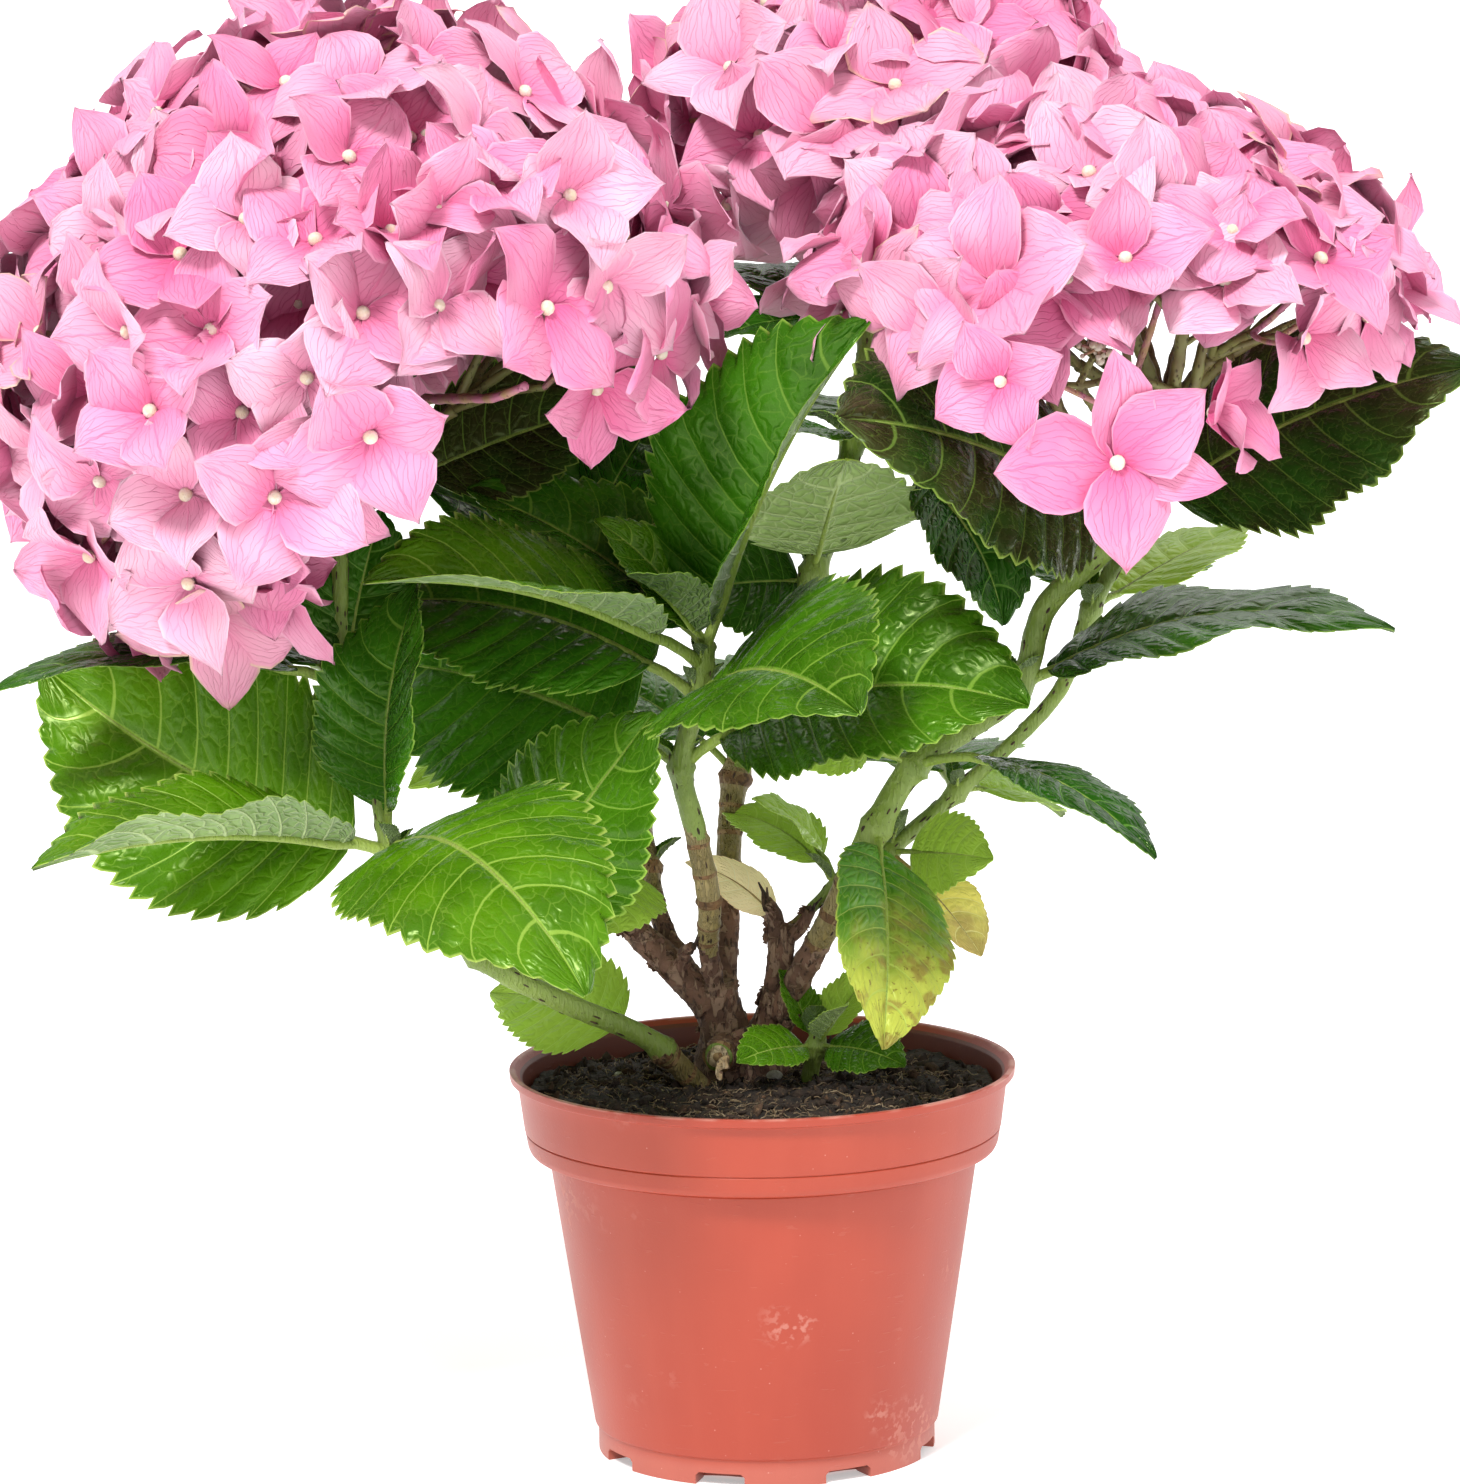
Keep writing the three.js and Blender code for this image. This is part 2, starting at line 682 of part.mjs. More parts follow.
    leaves: [
      { azimuth: -42, rise: 4, stalk: 8, length: 30, width: 24, arch: 10, roll: -60, fold: 4 },
      { azimuth: -42, rise: -42, stalk: 12, length: 36, width: 25, arch: 20, roll: -50, fold: 4 },
    ],
  },
  {
    name: 'leaves_twig_tip',
    node: [21, 19, 155],
    collar: 3,
    leaves: [
      { azimuth: -172, rise: 48, stalk: 10, length: 26, width: 24, arch: 60, roll: 10 },
      { azimuth: 150, rise: 26, stalk: 8, length: 34, width: 22, arch: 60, roll: 20 },
    ],
  },
  {
    name: 'leaf_withered',
    node: [7, 20, 141],
    leaves: [{ azimuth: 165, rise: 28, stalk: 8, length: 34, width: 20, arch: 46, roll: 40 }],
    finish: 'leafDead',
  },
  {
    name: 'leaves_rear_low',
    node: [-6, 42, 182],
    collar: 5.8,
    leaves: [
      { azimuth: 75, rise: 12, stalk: 14, length: 78, width: 56 },
      { azimuth: 160, rise: 30, stalk: 14, length: 46, width: 40, roll: 10 },
    ],
  },
  {
    name: 'leaf_rear_pale',
    node: [16, 46, 238],
    leaves: [{ azimuth: -73, rise: 50, stalk: 8, length: 40, width: 54, arch: 10, fold: 5 }],
  },
  {
    name: 'leaves_rear_middle',
    node: [28, 52, 275],
    collar: 5.2,
    leaves: [
      { azimuth: -25, rise: -48, stalk: 22, length: 50, width: 40, arch: 68, roll: -24, fold: 18 },
      { azimuth: 80, rise: -4, stalk: 14, length: 76, width: 54 },
      { azimuth: -125, rise: 34, stalk: 8, length: 26, width: 36, arch: 10 },
    ],
  },
  {
    name: 'leaves_rear_upper',
    node: [33, 60, 304],
    collar: 5,
    leaves: [
      { azimuth: -165, rise: 0, stalk: 10, length: 38, width: 38, arch: 50, roll: 10 },
      { azimuth: 148, rise: 12, stalk: 10, length: 56, width: 42, arch: 45 },
      { azimuth: 50, rise: -2, stalk: 12, length: 60, width: 46, arch: 50 },
    ],
  },
  {
    name: 'leaves_basal',
    node: [15, 4.5, 112],
    collar: 3.4,
    leaves: [
      { azimuth: -140, rise: 0, stalk: 4, length: 25, width: 18, arch: 30, roll: 30, fold: 12 },
      { azimuth: -34, rise: -4, stalk: 4, length: 26, width: 21, arch: 34, roll: -30, fold: 6 },
      { azimuth: -26, rise: 36, stalk: 4, length: 19, width: 18, arch: 20, roll: -40, fold: 12 },
      { azimuth: 60, rise: 52, stalk: 4, length: 26, width: 18, arch: 10, roll: -40, fold: 12 },
    ],
  },
  {
    name: 'leaf_low_shoot',
    node: [-27, -6, 113.5],
    leaves: [{ azimuth: 146, rise: 10, stalk: 16, length: 45, width: 34, arch: 34, roll: 40, fold: 4 }],
    finish: 'leafYellow',
  },
];

// ---- the object ---------------------------------------------------------------------------

const plant = new THREE.Group();
const placed = [];

/** Adds a sub-part, cut clear of those placed before it. */
function add(name, finish, make) {
  let solid = make(0);
  for (const other of placed) {
    if (boxesTouch(solid, other)) solid = solid.subtract(other);
  }
  placed.push(make(GAP));
  const mesh = new THREE.Mesh(toGeometry(largestPiece(solid)), new THREE.MeshStandardMaterial(FINISH[finish]));
  mesh.name = name;
  plant.add(mesh);
}

add('pot', 'pot', pot);
add('soil', 'soil', soil);
add('root_crown', 'wood', rootCrown);
for (const stem of STEMS) {
  const footed = FLAT_FOOTED.includes(stem.name);
  add(stem.name, stem.finish, (grow) => (footed ? overSoil(limb(stem, grow), grow) : limb(stem, grow)));
}
for (const head of HEADS) add(head.name, 'petal', (grow) => flowerHead(head, grow));
for (const mass of MASSES) add(mass.name, mass.finish ?? 'leaf', (grow) => leafMass(mass, grow));

export default plant;
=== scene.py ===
# A potted hydrangea shrub in flower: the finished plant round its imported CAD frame.
#
# Sizes are in millimetres up to the point where a mesh is made. The leaves, florets and stems grow
# from the same named places as the CAD solids, with what is left open drawn from seeded numbers.

import math
from functools import cached_property

import bpy
import numpy as np
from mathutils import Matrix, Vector, noise


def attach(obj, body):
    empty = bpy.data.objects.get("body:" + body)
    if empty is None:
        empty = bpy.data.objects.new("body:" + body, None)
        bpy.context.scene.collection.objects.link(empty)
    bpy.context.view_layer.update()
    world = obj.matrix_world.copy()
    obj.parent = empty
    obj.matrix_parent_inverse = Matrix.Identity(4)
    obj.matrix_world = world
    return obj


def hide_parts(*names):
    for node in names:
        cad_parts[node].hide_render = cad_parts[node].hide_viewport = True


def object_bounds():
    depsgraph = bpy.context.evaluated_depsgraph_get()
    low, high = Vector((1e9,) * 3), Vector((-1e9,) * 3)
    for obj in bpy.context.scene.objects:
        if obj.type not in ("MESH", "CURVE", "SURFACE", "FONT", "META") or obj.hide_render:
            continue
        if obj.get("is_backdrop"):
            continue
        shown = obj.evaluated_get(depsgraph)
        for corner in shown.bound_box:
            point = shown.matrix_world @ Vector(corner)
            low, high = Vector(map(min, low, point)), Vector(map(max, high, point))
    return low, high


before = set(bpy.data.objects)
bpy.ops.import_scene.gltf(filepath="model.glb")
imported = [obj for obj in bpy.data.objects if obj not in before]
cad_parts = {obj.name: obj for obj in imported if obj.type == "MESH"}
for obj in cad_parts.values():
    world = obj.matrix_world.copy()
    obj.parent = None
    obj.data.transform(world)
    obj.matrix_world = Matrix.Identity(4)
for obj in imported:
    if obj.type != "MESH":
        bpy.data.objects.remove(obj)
cad_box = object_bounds()

MM = 0.001
SEED = 20260


# ---- the plant's driving sizes, mm and degrees ----------------------------------------------

POT = {
    "height": 108,
    "rim_radius": 70,
    "lip_height": 2.4,
    "collar_top_radius": 67.8,
    "collar_bottom_radius": 66,
    "collar_depth": 17,
    "chamfer_drop": 6.5,
    "body_top_radius": 59.2,
    "foot_line_radius": 47.8,
    "foot_radius": 46.8,
    "foot_height": 8,
    "wall": 1.5,
    "floor": 2,
}
DRAIN_SLOTS = {"count": 8, "first_azimuth": -151.5, "width": 14, "height": 3.5, "inner_radius": 38}
SOIL = {"level": 102, "flat_radius": 31, "slope_to_front": 2}
CROWN_CENTRE = np.array([-3.0, 13.0])

OUTLINE = {"base": 0.62, "tip": 0.95}  # the leaf's half width: rounded base, drawn-out tip
WIDEST = OUTLINE["base"] / (OUTLINE["base"] + OUTLINE["tip"])

# each stem from its foot to its tip inside the hub of the head that it carries
STEMS = {
    "stem_front": {
        "through": [(-12, 12, 124), (-14.6, 5, 141), (-14, -4, 155), (-17, -9, 174), (-21, -14, 195),
                    (-16, -18, 214), (-14, -20, 230)],
        "radii": [3, 2.8, 3.3, 3.1, 2.9, 2.5, 1.8], "ringed": 0.5, "woody": 0.15,
    },
    "stem_rear": {
        "through": [(-10, 20, 120), (-9, 28, 145), (-6, 42, 182), (6, 46, 215), (16, 46, 238),
                    (28, 52, 275), (33, 60, 304), (37, 76, 332)],
        "radii": [3.2, 3.4, 3.6, 3.4, 3.2, 3, 2.8], "ringed": 0.3, "woody": 0.14,
    },
    "stem_left": {
        "through": [(-17, 17, 126), (-27, 23, 143), (-31, 31, 158), (-36, 46, 191), (-43, 52, 216),
                    (-50, 50, 240), (-70, 26, 276), (-110, -12, 266)],
        "radii": [3, 2.8, 3.2, 3, 2.8, 2.6, 2.4, 2.2], "ringed": 0.28, "woody": 0.12,
    },
    "stem_right": {
        "through": [(5, 13, 119), (12, 7, 134), (19, 1, 148), (32, -5, 175), (43, -3, 192),
                    (71, -5, 213), (79, -6, 236), (100, -8, 258), (106, -12, 284)],
        "radii": [4, 3.6, 3.9, 3.5, 3.4, 3.3, 3.1, 2.8], "ringed": 0.24, "woody": 0.13,
    },
    "stem_right_rear": {
        "through": [(10, 17, 131), (21, 18, 147), (36, 23, 163), (55, 26, 179), (84, 28, 207),
                    (93, 27, 230), (109, 13, 262), (116, -6, 286)],
        "radii": [2.6, 2.4, 2.1, 2.1, 2.2, 2.2, 2.1], "ringed": 0.15,
    },
    "stem_low_left": {
        "through": [(-15, 4, 98), (-31, -8, 117), (-55, -20, 131), (-77, -30, 146), (-99, -42, 176),
                    (-104, -38, 198), (-112, -21, 219), (-113, -14, 262)],
        "radii": [3.3, 3, 2.9, 2.8, 2.4, 2.1, 2.2, 2.3], "ringed": 0.1,
    },
    "side_twig": {
        "through": [(7, 21, 140), (15, 22, 148), (23, 18, 158)], "radii": [1.7, 1.4], "ringed": 0.2,
    },
    "basal_shoot": {
        "through": [(12, 7, 98), (14, 5, 108), (16, 4, 117)], "radii": [2.6, 1.8], "ringed": 0.1,
    },
}
WOOD = {
    "bough_left": {"through": [(-14, 13, 122), (-22, 14, 131), (-36, 18, 144)], "radii": [5, 4.2, 3.6]},
    "bough_middle": {"through": [(4, 16, 120), (6, 18, 144)], "radii": [3.8, 3.4]},
    "crown_foot": {"through": [(-9, 16, 98), (-10, 15, 112), (-13, 13, 128)], "radii": [11.5, 7, 5.6]},
    "crown_fork": {"through": [(0, 19, 98), (1, 17, 110), (5, 15, 126)], "radii": [8, 5.2, 4.4]},
}

HEADS = {
    "flower_head_right": {
        "centre": (97, -12, 318), "radii": (84, 75, 51), "tilt": (-80, 8), "skirt": 86,
        "hang": (-120, 0.05), "lobes": [(-130, 5, 0.06, 12)], "hub": (111, -12, 288),
        "bare": [(-81, 29, 61), (-134, 26, 78)], "florets": 60, "under": 20,
    },
    "flower_head_left": {
        "centre": (-110, -14, 312), "radii": (97, 90, 88), "tilt": (200, 22), "skirt": 119,
        "hang": (210, 0.07), "lobes": [(205, -52, 0.07, 8), (-20, -4, 0.06, 9)], "hub": (-110, -12, 266),
        "bare": [(-62, 21, 83), (-88, 12, 99), (-108, 10, 110)], "florets": 116, "under": 50,
    },
    "flower_head_rear": {
        "centre": (38, 82, 362), "radii": (67, 60, 45), "tilt": (-90, 8), "skirt": 112,
        "hang": (-90, 0.05), "lobes": [], "hub": (37, 78, 332), "bare": [], "florets": 50, "under": 20,
    },
}


def leaf(azimuth, rise, stalk, length, width, tint, arch=35, roll=0, fold=8, sway=0, teeth=1):
    """A leaf's aim from its node, its sizes, its curve and its tint."""
    return {"azimuth": azimuth, "rise": rise, "stalk": stalk, "length": length, "width": width,
            "tint": tint, "arch": arch, "roll": roll, "fold": fold, "sway": sway, "teeth": teeth}


# the place of each node of the stems, and the leaves that grow there
MASSES = {
    "leaves_front_top": ((-15, -20, 224), [
        leaf(-35, 60, 12, 102, 70, "mid", arch=28, roll=-62, fold=40),
        leaf(-150, 17, 18, 92, 56, "bright", arch=36, roll=14, fold=28, sway=-8),
    ]),
    "leaves_front_apex": ((-14, -20.5, 229), [
        leaf(165, 32, 8, 72, 46, "mid", arch=30, roll=30, fold=18),
        leaf(180, 50, 5, 42, 27, "bright", arch=38, roll=34, fold=14),
        leaf(-125, 35, 6, 38, 26, "fresh", arch=30, fold=30),
    ]),
    "leaves_front_middle": ((-16, -18, 214), [
        leaf(-64, 6, 12, 88, 70, "fresh", arch=48, roll=-32, fold=12, sway=12),
        leaf(163, 13, 16, 88, 58, "mid", arch=50, roll=30, fold=0),
    ]),
    "leaves_front_low": ((-21, -14, 195), [
        leaf(-22, 12, 14, 94, 72, "fresh", arch=55, roll=-40, fold=16, sway=-10),
        leaf(145, 11, 20, 86, 70, "mid", arch=28, roll=50, fold=4, sway=-10),
    ]),
    "leaves_low_left": ((-99, -42, 177), [
        leaf(-58, -12, 10, 106, 72, "bright", arch=82, roll=-20, fold=0, sway=30),
        leaf(-155, 3, 14, 92, 53, "bright", arch=34, fold=32, sway=-14),
        leaf(155, 23, 12, 106, 76, "bright", arch=-24, roll=66, fold=16, sway=-10),
        leaf(50, 80, 12, 64, 50, "mid", arch=50, roll=12, fold=24, sway=10),
    ]),
    "leaves_left_middle": ((-77, -30, 146), [
        leaf(-8, 54, 14, 70, 58, "fresh", arch=4, roll=-55, fold=0),
    ]),
    "leaves_left_upper": ((-112, -21, 219), [
        leaf(-168, 2, 14, 86, 34, "deep", arch=50, roll=6),
        leaf(124, 4, 14, 60, 44, "deep"),
        leaf(52, 70, 8, 42, 34, "deep", arch=20, roll=-40),
        leaf(70, 6, 16, 74, 52, "mid", arch=45),
    ]),
    "leaves_left_rear": ((-36, 46, 191), [
        leaf(104, -2, 16, 70, 54, "mid", arch=45),
        leaf(-165, -8, 12, 54, 40, "pale", arch=40, roll=20),
    ]),
    "leaves_left_inner": ((-50, 50, 240), [
        leaf(-140, 28, 10, 50, 44, "deep", arch=20, roll=45, fold=4),
        leaf(-23, 60, 10, 45, 44, "deep", arch=20, roll=-50, fold=4),
        leaf(110, 8, 14, 78, 54, "mid", arch=45),
        leaf(122, 60, 10, 56, 56, "deep", arch=20, roll=12, fold=4),
        leaf(62, 50, 10, 60, 54, "deep", arch=30, roll=-38, fold=6),
    ]),
    "leaf_left_low": ((-31, 31, 158), [
        leaf(-118, -26, 8, 26, 28, "pale", arch=50, roll=20, fold=4),
    ]),
    "leaves_right_low": ((43, -3, 192), [
        leaf(-155, 10, 16, 34, 26, "pale", roll=26, fold=0),
        leaf(-38, -12, 26, 62, 40, "glossy", arch=66, roll=8, fold=4, sway=14),
    ]),
    "leaves_right_middle": ((71, -5, 213), [
        leaf(-11, 10, 10, 100, 60, "deep", arch=52, roll=-7, fold=4, sway=-15),
    ]),
    "leaves_right_upper": ((100, -8, 258), [
        leaf(-137, 21, 12, 104, 78, "bronze", arch=28, roll=52, fold=6),
        leaf(-5, 25, 16, 90, 72, "bronze", arch=30, roll=-38, fold=0, sway=-10),
    ]),
    "leaves_right_rear": ((93, 27, 230), [
        leaf(42, 16, 10, 54, 39, "pale", arch=12),
        leaf(78, -4, 14, 84, 54, "mid", arch=40),
    ]),
    "leaves_right_rear_low": ((55, 26, 179), [
        leaf(30, -16, 8, 30, 32, "pale", arch=50, roll=-10),
        leaf(98, -6, 16, 82, 54, "mid", arch=40),
    ]),
    "leaf_yellowing": ((32, -5, 175), [
        leaf(-90, -44, 8, 66, 42, "yellowing", arch=26, roll=38, fold=12, sway=-20, teeth=0.5),
    ]),
    "leaves_side_twig": ((36, 23, 163), [
        leaf(-42, 4, 8, 30, 24, "pale", arch=10, roll=-60, fold=4),
        leaf(-46, -34, 10, 34, 24, "dying", arch=24, roll=-10, fold=6, teeth=0.4),
    ]),
    "leaves_twig_tip": ((21, 19, 155), [
        leaf(-172, 48, 10, 26, 24, "pale", arch=60, roll=10),
        leaf(150, 26, 8, 34, 22, "pale", arch=60, roll=20),
    ]),
    "leaf_withered": ((7, 20, 141), [
        leaf(165, 34, 6, 30, 14, "withered", arch=52, roll=40, fold=2, teeth=0.4),
    ]),
    "leaves_rear_low": ((-6, 42, 182), [
        leaf(75, 12, 14, 78, 56, "mid"),
        leaf(160, 30, 14, 46, 40, "mid", roll=10),
    ]),
    "leaf_rear_pale": ((16, 46, 238), [
        leaf(-73, 50, 8, 40, 54, "pale", arch=10, fold=5),
    ]),
    "leaves_rear_middle": ((28, 52, 275), [
        leaf(-25, -48, 22, 50, 40, "glossy", arch=68, roll=-24, fold=18),
        leaf(80, -4, 14, 76, 54, "mid"),
        leaf(-125, 10, 8, 34, 36, "mid", arch=24, roll=10),
    ]),
    "leaves_rear_upper": ((33, 60, 304), [
        leaf(-165, 0, 10, 38, 38, "deep", arch=50, roll=10),
        leaf(148, 12, 10, 56, 42, "deep", arch=45),
        leaf(50, -2, 12, 60, 46, "mid", arch=50),
    ]),
    "leaves_basal": ((15, 4.5, 112), [
        leaf(-140, 0, 4, 25, 18, "bright", arch=30, roll=30, fold=12),
        leaf(-34, -4, 4, 26, 21, "fresh", arch=34, roll=-30, fold=6),
        leaf(-60, 42, 4, 19, 12, "pale", arch=20, roll=-10, fold=24),
        leaf(20, 50, 4, 26, 15, "pale", arch=10, roll=-30, fold=20),
        leaf(150, 62, 4, 20, 13, "bright", arch=20, roll=20, fold=20),
        leaf(-90, 66, 3, 12, 9, "bright", arch=40, fold=30),
    ]),
    "leaf_low_shoot": ((-27, -6, 113.5), [
        leaf(146, 10, 16, 45, 34, "pale", arch=34, roll=40, fold=4),
    ]),
}


# ---- small tools --------------------------------------------------------------------------

def colour(code):
    """A #rrggbb colour as the linear one that a shader takes."""
    parts = [int(code[i:i + 2], 16) / 255 for i in (1, 3, 5)]
    linear = [p / 12.92 if p <= 0.04045 else ((p + 0.055) / 1.055) ** 2.4 for p in parts]
    return (*linear, 1.0)


def heading(azimuth, rise):
    """Unit vectors from azimuths (0 is +X, 90 is +Y) and rises over the horizontal, in degrees."""
    a, r = np.radians(azimuth), np.radians(rise)
    return np.stack([np.cos(r) * np.cos(a), np.cos(r) * np.sin(a), np.sin(r) + 0 * a], axis=-1)


def unit(vectors):
    return vectors / np.linalg.norm(vectors, axis=-1, keepdims=True)


def ease(value, low, high):
    """0 under low, 1 over high and smooth between."""
    share = np.clip((value - low) / (high - low), 0, 1)
    return share * share * (3 - 2 * share)


def along(values, share):
    """The value at a share of the way along a list of evenly spaced ones."""
    return np.interp(share, np.linspace(0, 1, len(values)), values)


def rough(places, size, seed=0.0):
    """Smooth noise from -1 to 1 at each place, with lumps of about the size."""
    flat = np.asarray(places, float).reshape(-1, 3) / size + seed
    values = np.array([noise.noise(Vector(place)) for place in flat])
    return values.reshape(np.asarray(places).shape[:-1])


def rows_at(share, known, rows):
    """Rows of three numbers at some shares of the way, read in between the known ones."""
    return np.stack([np.interp(share, known, rows[:, k]) for k in range(3)], axis=-1)


def step_lengths(path):
    return np.linalg.norm(np.diff(path, axis=0), axis=1)


def angles_round(sides):
    """Even angles round a circle, in radians."""
    return np.linspace(0, 2 * np.pi, sides, endpoint=False)


def curve_through(points, count):
    """Evenly spaced places along a centripetal Catmull-Rom curve through some points."""
    points = np.asarray(points, float)
    if len(points) == 2:
        return points[0] + np.linspace(0, 1, count)[:, None] * (points[1] - points[0])
    ends = np.vstack([2 * points[0] - points[1], points, 2 * points[-1] - points[-2]])
    steps = step_lengths(ends) ** 0.5
    fine = []
    for i in range(1, len(ends) - 2):
        a, b, c, d = ends[i - 1:i + 3]
        before, here, after = steps[i - 1:i + 2]
        start = ((b - a) / before - (c - a) / (before + here) + (c - b) / here) * here
        stop = ((c - b) / here - (d - b) / (here + after) + (d - c) / after) * here
        t = np.linspace(0, 1, 40)[:, None]
        fine.append((2 * t**3 - 3 * t**2 + 1) * b + (t**3 - 2 * t**2 + t) * start
                    + (3 * t**2 - 2 * t**3) * c + (t**3 - t**2) * stop)
    fine = np.vstack(fine)
    length = np.concatenate([[0], np.cumsum(step_lengths(fine))])
    return rows_at(np.linspace(0, length[-1], count), length, fine)


def frames_along(path):
    """Tangents of a path, with two unit vectors across it that turn as little as they can."""
    tangents = unit(np.gradient(path, axis=0))
    first = np.cross(tangents[0], [0, 0, 1] if abs(tangents[0][2]) < 0.9 else [1, 0, 0])
    across = [first / np.linalg.norm(first)]
    for tangent in tangents[1:]:
        turned = across[-1] - tangent * across[-1].dot(tangent)
        across.append(turned / np.linalg.norm(turned))
    across = np.array(across)
    return tangents, across, np.cross(tangents, across)


def tube_places(path, radius, sides):
    """Rings of places round a path, with a radius for each place of the path or for each point."""
    _, first, second = frames_along(path)
    angle = angles_round(sides)
    ring = first[:, None] * np.cos(angle)[None, :, None] + second[:, None] * np.sin(angle)[None, :, None]
    radius = np.asarray(radius, float)
    radius = radius[:, None] if radius.ndim == 1 else radius
    return path[:, None] + ring * np.broadcast_to(radius, ring.shape[:2])[..., None]


def ball_places(centre, radii, rings, sides, turn=np.eye(3)):
    """Rings of places on an ellipsoid, without its two poles, as a tube along its own Z."""
    polar = np.linspace(math.pi - 0.25, 0.25, rings)[:, None]
    angle = angles_round(sides)
    places = [np.sin(polar) * np.cos(angle), np.sin(polar) * np.sin(angle), np.cos(polar) + 0 * angle]
    return np.stack(places, axis=-1) * np.asarray(radii, float) @ turn.T + np.asarray(centre, float)


def basis_of(normal, spin=0.0):
    """Three unit vectors with the third along the normal, as the columns of a matrix."""
    normal = np.asarray(normal, float) / np.linalg.norm(normal)
    side = np.cross([0, 0, 1] if abs(normal[2]) < 0.95 else [0, 1, 0], normal)
    side /= np.linalg.norm(side)
    front = np.cross(normal, side)
    turned = side * math.cos(spin) + front * math.sin(spin)
    return np.stack([turned, np.cross(normal, turned), normal], axis=1)


class Gatherer:
    """Collects the points and faces of many small things of one kind, for one object."""

    def __init__(self, *maps):
        self.points = []
        self.count = 0
        self.faces = []
        self.slots = []
        self.maps = {name: [] for name in maps}
        self.creases = []

    def add_faces(self, corners, slot, maps):
        """Faces by their corners' numbers, with a slot for all or each, and maps by face and corner."""
        self.faces.append(corners)
        self.slots.append(np.broadcast_to(slot, len(corners)))
        for name, values in self.maps.items():
            values.append(maps[name] if name in maps else np.zeros((*corners.shape, 2)))

    def add_grid(self, places, slot=0, closed=True, maps=None, creases=()):
        """A sheet of rows and columns of places, or a tube with capped ends where it is closed.

        A map has a place for each corner of each cell: rows, cells, left or right, and the two numbers.
        """
        rows, columns = places.shape[:2]
        index = self.count + np.arange(rows * columns).reshape(rows, columns)
        self.points.append(places.reshape(-1, 3))
        self.count += rows * columns
        ring = np.hstack([index, index[:, :1]]) if closed else index
        quads = np.stack([ring[:-1, :-1], ring[:-1, 1:], ring[1:, 1:], ring[1:, :-1]], axis=-1)
        slots = np.broadcast_to(slot, quads.shape[:2]).reshape(-1)
        cells = {}
        for name, grid in (maps or {}).items():
            left, right = grid[:, :, 0], grid[:, :, 1]
            cells[name] = np.stack([left[:-1], right[:-1], right[1:], left[1:]], axis=2).reshape(-1, 4, 2)
        self.add_faces(quads.reshape(-1, 4), slots, cells)
        self.creases += [np.stack([index[:-1, column], index[1:, column]], axis=1) for column in creases]
        if closed:
            for row, end in ((0, index[0]), (-1, index[-1][::-1])):
                self.add_cap(places[row], end, slots[row], maps or {}, row)

    def add_cap(self, ring, index, slot, maps, row):
        """Closes the end of a tube with a fan round a point in its middle."""
        self.points.append(ring.mean(axis=0)[None])
        fan = np.stack([np.roll(index, -1), index, np.full(len(index), self.count)], axis=1)
        self.count += 1
        cells = {}
        for name, grid in maps.items():
            centre = grid[row, :, 0].mean(axis=0)
            angle = np.linspace(0, 2 * np.pi, len(index) + 1)
            disc = centre + CAP_ON_MAP * np.stack([np.cos(angle), np.sin(angle)], axis=1)
            cells[name] = np.stack([disc[1:], disc[:-1], centre + 0 * disc[1:]], axis=1)
        self.add_faces(fan, slot, cells)

    def add_tube(self, path, radius, sides, slot=0):
        self.add_grid(tube_places(path, radius, sides), slot)

    def build(self, name, materials):
        """One object of everything gathered, in metres."""
        mesh = bpy.data.meshes.new(name)
        places = np.vstack(self.points) * MM
        sizes = np.concatenate([np.full(len(faces), faces.shape[1]) for faces in self.faces])
        corners = np.concatenate([faces.reshape(-1) for faces in self.faces])
        mesh.vertices.add(len(places))
        mesh.vertices.foreach_set("co", places.reshape(-1).astype(np.float32))
        mesh.loops.add(len(corners))
        mesh.loops.foreach_set("vertex_index", corners.astype(np.int32))
        mesh.polygons.add(len(sizes))
        starts = np.concatenate([[0], np.cumsum(sizes)[:-1]])
        mesh.polygons.foreach_set("loop_start", starts.astype(np.int32))
        mesh.polygons.foreach_set("material_index", np.concatenate(self.slots).astype(np.int32))
        for map_name, values in self.maps.items():
            layer = mesh.uv_layers.new(name=map_name)
            flat = np.concatenate([part.reshape(-1) for part in values])
            layer.data.foreach_set("uv", flat.astype(np.float32))
        for material in materials:
            mesh.materials.append(material)
        mesh.update(calc_edges=True)
        mesh.polygons.foreach_set("use_smooth", np.ones(len(sizes), bool))
        if self.creases:
            self.mark_creases(mesh)
        return add_object(name, mesh)

    def mark_creases(self, mesh):
        """Makes the edges sharp that the grids named."""
        ends = np.zeros(2 * len(mesh.edges), np.int32)
        mesh.edges.foreach_get("vertices", ends)
        ends = np.sort(ends.reshape(-1, 2), axis=1).astype(np.int64)
        wanted = np.sort(np.vstack(self.creases), axis=1)
        sharp = np.isin(ends @ [self.count, 1], wanted @ [self.count, 1])
        mesh.attributes.new("sharp_edge", "BOOLEAN", "EDGE").data.foreach_set("value", sharp)


def add_object(name, data):
    thing = bpy.data.objects.new(name, data)
    bpy.context.scene.collection.objects.link(thing)
    return thing


def settle(piece, slot, *nodes):
    """Fixes a piece to the one body and hides the nodes that it stands for. The finish that it is given is
    not used.
    """
    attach(piece, "root")
    if nodes:
        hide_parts(*nodes)


# ---- materials ----------------------------------------------------------------------------

